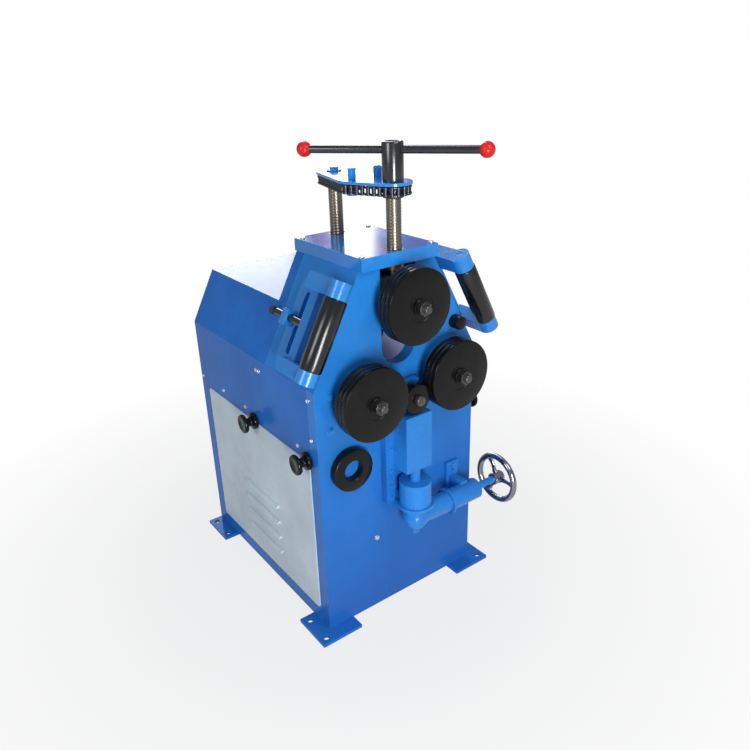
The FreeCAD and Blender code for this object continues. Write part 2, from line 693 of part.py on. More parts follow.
def add_carriage():
    for word, y, keeper_y in (
        ("front", front_y, front_y + size.frame_plate + size.keeper_gap),
        ("rear", rear_frame_y, rear_frame_y - size.keeper_gap - size.keeper_thickness),
    ):
        centre = size.top_height - size.block_drop
        body = box(-block_half, y, centre, 2 * block_half, size.frame_plate, block_top - centre)
        foot = rod(0, y, centre, block_half, size.frame_plate, "Y")
        keeper_half = block_half + size.keeper_lip
        keeper = box(-keeper_half, keeper_y, centre, 2 * keeper_half, size.keeper_thickness, block_top - centre)
        start = y if word == "front" else keeper_y + size.keeper_thickness
        bridge_depth = size.keeper_gap
        bridge_y = y + size.frame_plate if word == "front" else start
        bridge = box(-block_half, bridge_y, centre, 2 * block_half, bridge_depth, block_top - centre)
        inset = (size.frame_plate - size.bearing_width) / 2
        pocket = rod(0, y - 20, size.top_height, size.shoulder_radius + 1, size.frame_plate + 40, "Y")
        seat = rod(0, y + inset, size.top_height, size.bearing_radius, size.bearing_width, "Y")
        journal = rod(0, front_screw_y if word == "front" else rear_screw_y,
                      block_top - size.journal_end_depth - 0.5,
                      size.journal_foot_radius + size.running_fit, size.journal_end_depth + 2)
        node(f"top_block_{word}", cut(fused(body, foot, bridge, keeper), pocket, seat, journal))
    rings = []
    inset = (size.frame_plate - size.bearing_width) / 2
    for y in (front_y + inset, rear_frame_y + inset):
        outer = rod(0, y, size.top_height, size.bearing_radius, size.bearing_width, "Y")
        bore = rod(0, y - 1, size.top_height, size.journal_radius + size.running_fit,
                   size.bearing_width + 2, "Y")
        rings.append(cut(outer, bore))
    node("top_bearings", together(*rings))
    end = size.head_depth - 2
    node("top_shaft", turned(shaft_profile(end, end - 3), 0, front_y, size.top_height, "Y"))
    node("top_roll", together(*roll_discs(0, size.top_height)))


def add_feed_screws():
    neck = size.screw_neck_height
    for word, y, top in (
        ("front", front_screw_y, size.tie_plate_top + size.hub_height - size.bar_drop - size.bar_radius - 1),
        ("rear", rear_screw_y, size.tie_plate_top - size.rear_screw_sunk),
    ):
        low = block_top - size.journal_end_depth
        profile = [
            (0, low), (size.journal_foot_radius, low), (size.journal_foot_radius, block_top + 0.2),
            (size.screw_radius, block_top + 0.2), (size.screw_radius, neck),
            (size.journal_end_radius, neck), (size.journal_end_radius, top), (0, top),
        ]
        node(f"feed_screw_{word}", turned(profile, 0, y, 0))
        low = size.screw_neck_height - size.chain_height
        node(f"sprocket_{word}", sprocket(0, y, size.sprocket_teeth, size.journal_end_radius, low))


def pitch_radius(teeth):
    """Radius of a sprocket's pitch circle."""
    return float(size.chain_pitch) / (2 * math.sin(math.pi / float(teeth)))


def sprocket(x, y, teeth, bore_radius, hub_low):
    """Chain wheel with its hub; the teeth stop just short of the rollers."""
    count = int(float(teeth))
    tip = pitch_radius(teeth) - float(size.roller_radius) - 0.3
    foot = tip - 2.5
    step = 2 * math.pi / count
    points = []
    for index in range(count):
        for share, reach in ((-0.34, foot), (-0.12, tip), (0.12, tip), (0.34, foot)):
            angle = (index + share) * step
            points.append(Vector(reach * math.cos(angle), reach * math.sin(angle), 0))
    half = float(size.roller_half) - 0.5
    solid = Part.Face(Part.makePolygon(points + points[:1])).extrude(Vector(0, 0, 2 * half))
    low = float(hub_low)
    high = float(size.tie_plate_top - size.tie_plate_thickness - size.chain_height) - 0.3
    solid.translate(Vector(0, 0, -half))
    hub_radius = min(float(size.screw_radius) + 6, foot - 3)
    hub = Part.makeCylinder(hub_radius, high - low, Vector(0, 0, low))
    bore = Part.makeCylinder(float(bore_radius) + 0.01, 60, Vector(0, 0, -30))
    made = formed(solid.fuse(hub).removeSplitter().cut(bore))
    return place(made, x, y, size.chain_height)


def hull_path(circles):
    """Tangent points and arcs of a belt that runs anticlockwise round three circles."""
    normals = []
    count = len(circles)
    for index in range(count):
        (x1, y1, r1), (x2, y2, r2) = circles[index], circles[(index + 1) % count]
        distance = math.hypot(x2 - x1, y2 - y1)
        normals.append(math.atan2(y2 - y1, x2 - x1) - math.acos((r1 - r2) / distance))
    stretches = []
    for index in range(count):
        x1, y1, r1 = circles[index]
        x2, y2, r2 = circles[(index + 1) % count]
        before, after = normals[index - 1], normals[index]
        sweep = (after - before) % (2 * math.pi)
        stretches.append(("arc", (x1, y1, r1), before, sweep))
        start = (x1 + r1 * math.cos(after), y1 + r1 * math.sin(after))
        end = (x2 + r2 * math.cos(after), y2 + r2 * math.sin(after))
        stretches.append(("line", start, end, 0))
    return stretches


def stretch_length(stretch):
    if stretch[0] == "arc":
        return stretch[1][2] * stretch[3]
    return math.hypot(stretch[2][0] - stretch[1][0], stretch[2][1] - stretch[1][1])


def chain_circles(idler_x, extra=0.0):
    """Front sprocket, rear sprocket and idler as circles, in anticlockwise order."""
    wheel = pitch_radius(size.sprocket_teeth) + extra
    return [
        (0.0, float(front_screw_y), wheel),
        (0.0, float(rear_screw_y), wheel),
        (idler_x, float(front_y + size.idler_y), pitch_radius(size.idler_teeth) + extra),
    ]


def tensioned_idler_x():
    """Place of the idler that takes up the slack of a whole number of links."""
    wanted = float(size.chain_links) * float(size.chain_pitch)
    near, far = -25.0, -160.0
    for _ in range(60):
        middle = (near + far) / 2
        total = sum(stretch_length(item) for item in hull_path(chain_circles(middle)))
        if total < wanted:
            near = middle
        else:
            far = middle
    return (near + far) / 2


def along_path(stretches, distance):
    """Point on the belt path at a distance from its start."""
    for stretch in stretches:
        length = stretch_length(stretch)
        if distance > length:
            distance -= length
            continue
        if stretch[0] == "arc":
            (x, y, radius), start = stretch[1], stretch[2]
            angle = start + distance / radius
            return Vector(x + radius * math.cos(angle), y + radius * math.sin(angle), 0)
        (x1, y1), (x2, y2) = stretch[1], stretch[2]
        share = distance / length
        return Vector(x1 + share * (x2 - x1), y1 + share * (y2 - y1), 0)
    return along_path(stretches[:1], 0)


def link_plate(first, second, low, thickness, half):
    """Waisted side plate of one link, between two pins."""
    forward = second.sub(first)
    length = forward.Length
    forward.normalize()
    side = Vector(-forward.y, forward.x, 0)
    reach = half * 0.92
    corners = []
    for along, across in ((-reach, 0.45), (-0.45 * reach, 1.0), (0.45 * reach, 1.0),
                          (length - 0.45 * reach, 1.0), (length + 0.45 * reach, 1.0), (length + reach, 0.45)):
        corners.append((along, across * half))
    loop = corners + [(along, -across) for along, across in reversed(corners)]
    points = [first + forward * along + side * across + Vector(0, 0, low) for along, across in loop]
    return Part.Face(Part.makePolygon(points + points[:1])).extrude(Vector(0, 0, thickness))


def prism_pin(centre, radius, low, high, sides=8):
    """Short many-sided pin or roller."""
    points = [centre + Vector(radius * math.cos(2 * math.pi * n / sides),
                              radius * math.sin(2 * math.pi * n / sides), low) for n in range(sides)]
    return Part.Face(Part.makePolygon(points + points[:1])).extrude(Vector(0, 0, high - low))


def add_chain(idler_x):
    stretches = hull_path(chain_circles(idler_x))
    total = sum(stretch_length(item) for item in stretches)
    count = int(float(size.chain_links))
    pins = [along_path(stretches, total * n / count) for n in range(count)]
    half = float(size.roller_half)
    thick = float(size.link_plate)
    tail = float(size.pin_tail)
    width = float(size.link_half_width)
    solids = []
    for index in range(count):
        first, second = pins[index], pins[(index + 1) % count]
        inner = index % 2 == 0
        low = half if inner else half + thick + 0.1
        tall = width if inner else width * 0.92
        for base in (low, -low - thick):
            solids.append(link_plate(first, second, base, thick, tall))
        if inner:
            solids.append(prism_pin(first, float(size.roller_radius), -half, half))
            solids.append(prism_pin(second, float(size.roller_radius), -half, half))
        else:
            top = low + thick
            for pin in (first, second):
                solids.append(prism_pin(pin, float(size.roller_radius) * 0.5, top, top + tail, 6))
                solids.append(prism_pin(pin, float(size.roller_radius) * 0.5, -top - tail, -top, 6))
    chain = formed(Part.makeCompound(solids))
    node("feed_chain", place(chain, 0, 0, size.chain_height))


def hull_face(circles):
    """Flat face inside the belt path round three circles."""
    edges = []
    for kind, first, second, sweep in hull_path(circles):
        if kind == "line":
            edges.append(Part.LineSegment(Vector(*first, 0), Vector(*second, 0)).toShape())
            continue
        x, y, radius = first
        spots = [Vector(x + radius * math.cos(second + sweep * share),
                        y + radius * math.sin(second + sweep * share), 0) for share in (0, 0.5, 1)]
        edges.append(Part.Arc(*spots).toShape())
    return Part.Face(Part.Wire(Part.__sortEdges__(edges)))


def add_tie_plate(idler_x):
    margin = float(size.link_half_width) + float(size.tie_plate_margin)
    thickness = float(size.tie_plate_thickness)
    solid = hull_face(chain_circles(idler_x, margin)).extrude(Vector(0, 0, thickness))
    hole = float(size.journal_end_radius) + 0.3
    for y in (float(front_screw_y), float(rear_screw_y)):
        solid = solid.cut(Part.makeCylinder(hole, 20, Vector(0, y, -5)))
    idler_y = float(front_y + size.idler_y)
    solid = solid.cut(Part.makeCylinder(6.05, 20, Vector(idler_x, idler_y, -5)))
    top = size.tie_plate_top
    node("tie_plate", place(formed(solid), 0, 0, top - size.tie_plate_thickness))
    low = size.chain_height - size.roller_half - 5.3
    axle = rod(idler_x, front_y + size.idler_y, low, 6, top + 10 - low)
    head = hexagon(idler_x, front_y + size.idler_y, top, 9, 22)
    washer = rod(idler_x, front_y + size.idler_y, low - 4, 11, 4)
    stud_y = (front_screw_y + rear_screw_y) / 2 - 30
    stud = rod(17, stud_y, top, 8.5, 18)
    cap = cone(17, stud_y, top + 18, 8.5, 5, 3)
    end_washer = rod(0, rear_screw_y, top, 16, 2.5)
    end_nut = hexagon(0, rear_screw_y, top + 2.5, 10, 6)
    node("plate_bolts", together(fused(axle, head, washer), fused(stud, cap), fused(end_washer, end_nut)))
    idler_bore = 6 + size.running_fit
    idler = sprocket(idler_x, front_y + size.idler_y, size.idler_teeth, idler_bore, -size.roller_half - 5)
    node("chain_idler", idler)


def add_lever():
    base = size.tie_plate_top + 0.3
    hub = turned([(size.journal_end_radius, 0), (size.hub_radius, 0), (size.hub_radius, size.hub_height - 2),
                  (size.hub_radius - 2, size.hub_height), (0, size.hub_height), (0, size.hub_height - 3),
                  (size.journal_end_radius, size.hub_height - 3)], 0, front_screw_y, base)
    level = base + size.hub_height - size.bar_drop
    turn = Rotation(Vector(0, 0, 1), float(size.lever_turn)).multiply(Rotation(Vector(0, 1, 0), 90))
    bars = []
    for reach in (size.bar_radius, size.bar_radius + 0.01):
        bar = doc.addObject("Part::Cylinder", "Bar")
        bind(bar, "Radius", reach)
        bind(bar, "Height", size.bar_length)
        across = size.bar_length / 2
        start_y = front_screw_y - across * sine(size.lever_turn)
        place(bar, -across * cosine(size.lever_turn), start_y, level, turn)
        bars.append(bar)
    node("lever_hub", cut(hub, bars[1]))
    node("lever_bar", bars[0])
    balls = []
    for end in (-1, 1):
        reach = end * (size.bar_length / 2 + 6)
        sphere = ball(reach * cosine(size.lever_turn), front_screw_y + reach * sine(size.lever_turn),
                      level, size.ball_radius)
        bore = doc.addObject("Part::Cylinder", "BallBore")
        bind(bore, "Radius", size.bar_radius)
        bind(bore, "Height", size.bar_length)
        across = size.bar_length / 2
        start_y = front_screw_y - across * sine(size.lever_turn)
        place(bore, -across * cosine(size.lever_turn), start_y, level, turn)
        balls.append(cut(sphere, bore))
    node("lever_balls", together(*balls))


# Centre roller, its slide and elevating gear

def add_centre_slide():
    base_y = front_y - size.slide_base_thickness
    height = size.slide_base_top - size.slide_base_bottom
    node("slide_base", box(-size.slide_base_half, base_y, size.slide_base_bottom,
                           2 * size.slide_base_half, size.slide_base_thickness, height))
    gibs = []
    step = size.gib_thickness
    gib_y = base_y - step
    for side in (-1, 1):
        x = size.slide_base_half - size.gib_width if side > 0 else -size.slide_base_half
        spacer = box(x, gib_y, size.slide_base_bottom, size.gib_width, step, height)
        relief_x = x - 1 if side > 0 else x + size.gib_width - size.gib_lip
        relief = box(relief_x, gib_y + 5, size.slide_base_bottom - 1, size.gib_lip + 1, step, height + 2)
        gibs.append(cut(spacer, relief))
    node("gib_rails", together(*gibs))
    inner = size.slide_base_half - size.gib_width
    wing = inner + size.gib_lip - size.slide_gap
    tongue_half = inner - size.slide_gap
    length = size.slide_top - size.slide_bottom
    tongue = box(-tongue_half, base_y - size.slide_thickness, size.slide_bottom,
                 2 * tongue_half, size.slide_thickness - size.slide_gap, length)
    wings = box(-wing, base_y - size.slide_gap - 6, size.slide_bottom, 2 * wing, 6,
                size.slide_base_top - size.slide_bottom)
    screw_y = front_y - size.gear_case_y
    column_top = size.centre_roller_height - size.centre_roller_radius - size.column_roller_gap
    column_depth = size.column_front - size.slide_base_thickness - size.gib_thickness - size.slide_gap
    column = box(-size.column_half, front_y - size.column_front, size.slide_bottom,
                 2 * size.column_half, column_depth, column_top - size.slide_bottom)
    guard_top = size.gear_case_top + size.guard_rise
    guard_bore = rod(0, screw_y, size.slide_bottom - 1, size.guard_radius + 0.5,
                     guard_top + size.lower_travel + 3 - size.slide_bottom)
    nut_top = guard_top + size.lower_travel + size.nut_depth
    nut_bore = rod(0, screw_y, size.slide_bottom, size.lift_screw_radius + size.running_fit,
                   nut_top + size.lower_travel + 2 - size.slide_bottom)
    roller_y = front_y - size.centre_roller_y
    pin = rod(0, roller_y - size.centre_roller_width - 4, size.centre_roller_height,
              size.centre_pin_radius, size.centre_roller_width + 4 + size.centre_roller_y
              - size.slide_base_thickness - size.slide_thickness + 1, "Y")
    head = rod(0, roller_y - size.centre_roller_width - 11, size.centre_roller_height,
               size.centre_head_radius, 7, "Y")
    collar = rod(0, roller_y + 0.5, size.centre_roller_height, size.centre_pin_radius + 6,
                 size.centre_roller_y - size.slide_base_thickness - size.slide_thickness + 0.5, "Y")
    node("centre_slide", cut(fused(tongue, wings, column, pin, head, collar), guard_bore, nut_bore))
    edge = 3
    radius, width = size.centre_roller_radius, size.centre_roller_width
    bore = size.centre_pin_radius + size.running_fit
    node("centre_roller", turned([(bore, 0), (radius - edge, 0), (radius, edge), (radius, width - edge),
                                  (radius - edge, width), (bore, width)],
                                 0, roller_y - width, size.centre_roller_height, "Y"))


def add_elevating_gear():
    y = front_y - size.gear_case_y
    level = size.bevel_case_height
    case = rod(0, y, size.gear_case_bottom, size.gear_case_radius, size.gear_case_top - size.gear_case_bottom)
    guard = rod(0, y, size.gear_case_top - 1, size.guard_radius, size.guard_rise + 1)
    flange_low = size.gear_case_bottom - size.case_flange
    flange = rod(0, y, flange_low, size.case_flange_radius, size.case_flange)
    neck = rod(0, y, level, size.bevel_case_radius - 3, flange_low - level)
    knuckle = ball(0, y, level, size.bevel_case_radius)
    arm = rod(0, y, level, size.arm_radius, size.arm_end, "X")
    collar = rod(size.arm_flange_x, y, level, size.arm_flange_radius, size.arm_flange, "X")
    stay = box(-24, y, size.slide_base_bottom - 8, 48, size.gear_case_y, 30)
    foot_low = level - 8
    lug = box(size.arm_foot_x + 8, y, foot_low, size.arm_foot_width - 16, size.gear_case_y, 40)
    foot = box(size.arm_foot_x, front_y - 9, foot_low, size.arm_foot_width, 9, size.arm_foot_height)
    foot_middle = size.arm_foot_x + size.arm_foot_width / 2
    foot_bolts = [hexagon(foot_middle, front_y - 13, foot_low + rise, 5.5, 4.5, "Y") for rise in (50, 67)]
    flange_bolts = []
    for across in (-1, 1):
        for forward in (-1, 1):
            flange_bolts.append(hexagon(across * 27, y + forward * 27, flange_low - 4, 4.5, 4.5))
    cap = hexagon(0, y, level - size.bevel_case_radius - 12, 9, 16)
    bore = rod(0, y, level, size.lift_screw_radius + 0.5, size.gear_case_top + size.guard_rise)
    chamber = rod(0, y, size.gear_case_top - 25, size.lift_screw_radius + 9, 8)
    cross = rod(-6, y, level, size.wheel_shaft_radius + size.running_fit, size.arm_end + 20, "X")
    pocket = ball(0, y, level, size.bevel_case_radius - 4.5)
    base_cut = box(-60, front_y - size.slide_base_thickness, size.slide_base_bottom - 0.01, 120, 20, 300)
    shell = fused(
        case, guard, flange, neck, knuckle, arm, collar, stay, lug, foot, cap, *foot_bolts, *flange_bolts)
    node("elevating_case", cut(shell, bore, chamber, cross, pocket, base_cut))
    low = level + size.wheel_shaft_radius + 1
    screw_top = size.gear_case_top + size.guard_rise + size.lower_travel + size.nut_depth
    screw = rod(0, y, low, size.lift_screw_radius, screw_top - low)
    collar = rod(0, y, size.gear_case_top - 24, size.lift_screw_radius + 8, 6)
    near, far = size.bevel_near - 0.4, size.bevel_near + size.bevel_width - 0.4
    bevel = cone(0, y, size.bevel_case_height + size.bevel_near, near, far, size.bevel_width)
    node("lift_screw", fused(screw, collar, bevel))
    length = size.wheel_x - size.wheel_hub_length / 2
    shaft = rod(-5, y, size.bevel_case_height, size.wheel_shaft_radius,
                length + 5 + size.wheel_hub_length, "X")
    bevel = cone(size.bevel_near, y, size.bevel_case_height, near, far, size.bevel_width, "X")
    node("wheel_shaft", fused(shaft, bevel))
    add_handwheel(y)


def add_handwheel(y):
    """Dished chrome wheel with a round rim, three spokes and a hub."""
    rim_reach = size.wheel_radius - size.wheel_rim
    rim = torus(size.wheel_x, y, size.bevel_case_height, rim_reach, size.wheel_rim, "X")
    hub = rod(size.wheel_x - size.wheel_hub_length / 2, y, size.bevel_case_height,
              size.wheel_hub_radius, size.wheel_hub_length, "X")
    spokes = []
    reach = size.wheel_radius - size.wheel_rim
    for index in range(int(float(size.wheel_spokes))):
        angle = 90 + 360 * index / float(size.wheel_spokes)
        spoke = doc.addObject("Part::Cylinder", "Spoke")
        bind(spoke, "Radius", size.spoke_radius)
        bind(spoke, "Height", reach)
        spokes.append(place(spoke, size.wheel_x, y, size.bevel_case_height,
                            Rotation(Vector(1, 0, 0), angle)))
    bore = rod(0, y, size.bevel_case_height, size.wheel_shaft_radius, size.wheel_x + 60, "X")
    node("handwheel", cut(fused(rim, hub, *spokes), bore))


# Side guide rollers

def add_guides():
    rails = []
    for side, word in ((-1, "left"), (1, "right")):
        x = outward(side, 0.0, size.rail_thickness)
        leaf = rounded_leaf(x, size.rail_start, size.rail_along, size.rail_thickness,
                            size.rail_length, size.rail_height, size.rail_corner)
        window = rounded_leaf(x - 1, size.rail_start + size.rail_window, size.rail_along + size.rail_window,
                              size.rail_thickness + 2, size.rail_length - 2 * size.rail_window,
                              size.rail_height - 2 * size.rail_window, size.rail_corner - 2)
        lug_top = size.guide_bar_rise + size.guide_bar_radius + size.guide_lug_wall
        lug = box(outward(side, size.rail_thickness - 1, lug_top - size.rail_thickness + 1),
                  size.guide_lug_start, size.guide_along - size.guide_lug_width / 2,
                  lug_top - size.rail_thickness + 1, size.guide_lug_length, size.guide_lug_width)
        bore = rod(side * size.guide_bar_rise, size.rail_start - 5, size.guide_along,
                   size.guide_bar_radius + size.running_fit, size.rail_length + 10, "Y")
        rails.append(slanted(cut(fused(cut(leaf, window), lug), bore), side, front_y))
        add_guide_bracket(side, word)
    node("guide_rails", together(*rails))


def add_guide_bracket(side, word):
    axis_x = side * size.guide_standoff
    boss_span = size.guide_length + size.guide_boss_length + size.guide_top_boss + 1
    low = size.guide_along - size.guide_length / 2 - size.guide_boss_length - 0.5
    pieces = []
    forward = -size.guide_forward
    rail_face = size.rail_thickness + size.guide_rail_gap
    arm_height = size.guide_arm_top - size.guide_arm_low
    arm_x = outward(side, size.guide_arm_low, arm_height)
    arm_length = size.guide_forward + size.guide_back_start + size.guide_back_length
    back_height = size.guide_back_top - rail_face
    ends = (
        (low, size.guide_boss_length),
        (low + boss_span - size.guide_top_boss, size.guide_top_boss),
    )
    for start, tall in ends:
        pieces.append(rod(axis_x, forward, start, size.guide_boss_radius, tall))
        pieces.append(box(arm_x, forward, start, arm_height, arm_length, tall))
    pieces.append(box(outward(side, rail_face, back_height), size.guide_back_start, low, back_height,
                      size.guide_back_length, boss_span))
    pieces.append(rod(side * size.guide_bar_rise, size.guide_bar_start, size.guide_along,
                      size.guide_bar_radius, size.guide_bar_length, "Y"))
    pin_bore = rod(axis_x, forward, low - 1, size.guide_pin_radius, boss_span + 2)
    pin = rod(axis_x, forward, low + 1, size.guide_pin_radius, boss_span - 2)
    bracket = together(cut(fused(*pieces), pin_bore), pin)
    node(f"guide_bracket_{word}", slanted(bracket, side, front_y))
    edge = 2
    radius = size.guide_radius
    bore = size.guide_pin_radius + size.running_fit
    tube = turned([(bore, 0.3), (radius - edge, 0.3), (radius, edge + 0.3),
                   (radius, size.guide_length - edge), (radius - edge, size.guide_length),
                   (bore, size.guide_length)],
                  axis_x, forward, low + size.guide_boss_length + 0.3)
    node(f"guide_roller_{word}", slanted(together(tube), side, front_y))
    head_y = rear_frame_y - front_y + size.frame_plate / 2
    stud = rod(outward(side, -18.0, 26.0), head_y, size.lock_screw_along, size.lock_screw_radius, 26, "X")
    grip = rod(outward(side, 8.0, 12.0), head_y, size.lock_screw_along, size.lock_screw_head, 12, "X")
    handle = rod(side * 14, head_y - 16, size.lock_screw_along, 3, 32, "Y")
    node(f"lock_screw_{word}", slanted(together(fused(stud, grip, handle)), side, front_y))


# Small fittings

def add_fittings():
    y = front_y - size.spare_ring_width
    x, z, width = size.spare_ring_x, size.spare_ring_height, size.spare_ring_width
    ring = cut(
        rod(x, y, z, size.spare_ring_radius, width, "Y"), rod(x, y - 1, z, size.spare_ring_bore, width + 2, "Y"))
    node("spare_ring", ring)
    node("stop_stud", rod(size.stop_x, front_y - size.stop_length, size.stop_height,
                          size.stop_radius, size.stop_length, "Y"))
    heads = []
    bolt_x = half_width - size.bolt_side_inset
    for side in (-1, 1):
        for drop in (size.bolt_low_drop, size.bolt_high_drop):
            heads.append(hexagon(side * bolt_x, front_y - size.bolt_head_height, size.shoulder_height - drop,
                                 size.bolt_head_radius, size.bolt_head_height, "Y"))
        gib_x = side * (size.slide_base_half - size.gib_width / 2)
        gib_face = front_y - size.slide_base_thickness - size.gib_thickness
        for rise in (13, 42, 81, 135, 189):
            height = size.slide_base_bottom + rise
            heads.append(hexagon(gib_x, gib_face - 4, height, size.gib_bolt_radius, 4, "Y"))
    node("frame_bolts", together(*heads))
    screws = []
    thickness = size.screw_head_height
    for x in (-1, 1):
        for y in (front_y, front_y + size.head_depth - 14):
            screws.append(rod(x * (cover_half - 9), y, cover_top_height, size.screw_head_radius, thickness))
    screws.append(rod(size.plug_x, front_y - thickness, size.plug_height, size.screw_head_radius, thickness, "Y"))
    spots = (
        (80, size.panel_screw_drop), (320, size.panel_screw_drop), (439, size.panel_screw_drop),
        (560, size.panel_screw_drop), (21, size.panel_screw_drop - 36), (25, 23), (231, 27), (243, 27),
    )
    for side in (-1, 1):
        x = half_width if side > 0 else -half_width - thickness
        for back, drop in spots:
            screws.append(rod(x, front_y + back, size.shoulder_height - drop, size.screw_head_radius - 1.5,
                              thickness, "X"))
    node("panel_screws", together(*screws))


def check_and_write():
    """Stop on any failed object, then write each sub-part's solids."""
    doc.recompute()
    faults = [item.Label for item in doc.Objects if "Invalid" in item.State or "Error" in item.State]
    for name, thing in nodes:
        shape = thing.Shape
        if shape.isNull() or not shape.isValid() or not shape.Solids:
            faults.append(name)
    if faults:
        raise RuntimeError("These did not build: " + ", ".join(faults))
    os.makedirs("parts", exist_ok=True)
    for name, thing in nodes:
        thing.Shape.exportStep(f"parts/{name}.step")
    print(len(nodes), "sub-parts written")


def build():
    add_frame()
    add_cover()
    add_panels()
    add_hood()
    add_feet()
    add_doors()
    add_knobs()
    add_lower_supports()
    add_lower_shafts()
    add_drive()
    add_carriage()
    add_feed_screws()
    idler_x = tensioned_idler_x()
    add_chain(idler_x)
    add_tie_plate(idler_x)
    add_lever()
    add_centre_slide()
    add_elevating_gear()
    add_guides()
    add_fittings()
    check_and_write()


build()
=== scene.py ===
import json
import math

import bmesh
import bpy
from bpy.props import FloatProperty, FloatVectorProperty, IntProperty, PointerProperty
from mathutils import Matrix, Vector


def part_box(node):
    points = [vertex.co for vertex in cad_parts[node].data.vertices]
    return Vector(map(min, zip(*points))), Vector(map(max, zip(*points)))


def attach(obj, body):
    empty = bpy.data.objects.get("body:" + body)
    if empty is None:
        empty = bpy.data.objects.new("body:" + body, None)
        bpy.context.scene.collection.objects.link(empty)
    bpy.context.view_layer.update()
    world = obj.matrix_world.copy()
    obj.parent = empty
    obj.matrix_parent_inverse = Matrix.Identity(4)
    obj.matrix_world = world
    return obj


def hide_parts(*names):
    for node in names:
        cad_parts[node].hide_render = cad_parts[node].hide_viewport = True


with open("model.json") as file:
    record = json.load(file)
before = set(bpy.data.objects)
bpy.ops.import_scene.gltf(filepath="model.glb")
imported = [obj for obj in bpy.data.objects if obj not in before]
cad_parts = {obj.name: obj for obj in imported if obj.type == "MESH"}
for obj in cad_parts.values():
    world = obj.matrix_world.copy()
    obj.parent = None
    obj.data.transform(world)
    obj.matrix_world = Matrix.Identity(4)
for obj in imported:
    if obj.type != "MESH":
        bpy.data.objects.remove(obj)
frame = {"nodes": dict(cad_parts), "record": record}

bl_info = {
    "name": "Ring roller looks",
    "version": (1, 0, 0),
    "blender": (4, 5, 0),
    "location": "View3D > Sidebar > Ring roller",
    "description": "Finishes and fine shapes of a floor-standing ring roller",
    "category": "Object",
}

# Main places of the machine, in millimetres, as in its solids
FRONT = -269.5
SIDE = 214.0
SHOULDER = 604.0
COVER_TOP = 855.0
SLOT_FLOOR = 657.5
TOP_ROLL = 753.0
LOWER_ROLL = 574.0
LOWER_OFFSET = 112.0
ROLL_FACE = FRONT - 34 - 38.01
DISC_DEPTH = 12.67
CENTRE_ROLLER = 549.0
CENTRE_FACE = FRONT - 62.0
FRONT_SCREW = FRONT + 10.0
REAR_SCREW = FRONT + 213.2
PLATE_TOP = 986.5
HUB_BASE = PLATE_TOP + 0.3
HUB_HEIGHT = 73.0
BAR_LEVEL = HUB_BASE + HUB_HEIGHT - 15.7
LEVER_TURN = -53.0
CHAIN_LEVEL = 970.0
CHAIN_PITCH = 12.7
CHAIN_COUNT = 48
SPROCKET_TEETH = 15
IDLER_TEETH = 10
CASE_Y = FRONT - 50.0
WHEEL_SIDE = 258.0
WHEEL_LEVEL = 252.0
SLANT = 62.0
GIB_FACE = FRONT - 20.0
LOWEST_GIB_BOLT = 292.0
KNOB_LEVEL = 440.0
KNOB_SEAT = 217.3

# Camera solved from the photograph: yaw, pitch and roll in degrees, place in metres
CAMERA_ANGLES = (35.89, 23.89, 1.85)
CAMERA_PLACE = (-0.8478, -1.3520, 1.1950)
CAMERA_LENS = 33.935

# Angles where shading turns sharp or a bevel starts, and where faces are merged as flat
SHARP = math.radians(38)
FLAT = math.radians(1)

# Inputs of the Geometry Nodes trees with their usual sizes, in metres
HEAD_SIZES = {
    "Sides": 6, "Radius": 0.008, "Height": 0.006, "Washer": 0.0095, "Washer height": 0.0012,
    "Socket share": 0.5, "Socket depth": 0.002}
LINK_SIZES = {
    "Pitch": CHAIN_PITCH / 1000, "Plate": 0.0018, "Plate radius": 0.0056, "Roller": 0.0042,
    "Roller half": 0.0047, "Pin": 0.0021, "Pin tail": 0.0011}


def mm(*numbers):
    """Millimetres as a vector in metres."""
    return Vector(n / 1000 for n in numbers)


def metres(profile):
    """A profile's millimetres in metres."""
    return [(radius / 1000, height / 1000) for radius, height in profile]


class RollerSettings(bpy.types.PropertyGroup):
    """Sizes and colours that a user would change."""

    front_blue: FloatVectorProperty(
        name="Front blue", description="Enamel of the front plate and its fittings",
        subtype="COLOR", size=3, min=0, max=1, default=(0.020, 0.220, 0.64))
    side_blue: FloatVectorProperty(
        name="Side blue", description="Enamel of the panels, hood and cover",
        subtype="COLOR", size=3, min=0, max=1, default=(0.020, 0.150, 0.52))
    door_grey: FloatVectorProperty(
        name="Door grey", description="Enamel of the louvred side doors",
        subtype="COLOR", size=3, min=0, max=1, default=(0.54, 0.63, 0.69))
    roll_black: FloatVectorProperty(
        name="Roll black", description="Oiled hardened steel of the rolls",
        subtype="COLOR", size=3, min=0, max=1, default=(0.0060, 0.0055, 0.0050))
    ball_red: FloatVectorProperty(
        name="Ball red", description="Moulded ends of the lever",
        subtype="COLOR", size=3, min=0, max=1, default=(0.62, 0.022, 0.018))
    edge_break: FloatProperty(
        name="Edge break", description="Width of the small bevel on machined edges",
        subtype="DISTANCE", unit="LENGTH", min=0, max=0.003, default=0.0007)
    turned_steps: IntProperty(
        name="Turned steps", description="Number of steps round a turned piece",
        min=16, max=160, default=72)
    key_power: FloatProperty(
        name="Key light", description="Power of the main lamp, in watts",
        subtype="POWER", unit="POWER", min=0, max=500, default=9)
    fill_power: FloatProperty(
        name="Fill light", description="Power of the lamp on the left, in watts",
        subtype="POWER", unit="POWER", min=0, max=500, default=26)
    top_power: FloatProperty(
        name="Top light", description="Power of the lamp above the machine, in watts",
        subtype="POWER", unit="POWER", min=0, max=500, default=22)
    strip_power: FloatProperty(
        name="Strip light",
        description="Power of the upright strip that draws highlights on round pieces, in watts",
        subtype="POWER", unit="POWER", min=0, max=500, default=34)


def settings():
    """This scene's sizes and colours of the machine."""
    return bpy.context.scene.ring_roller


# Nodes

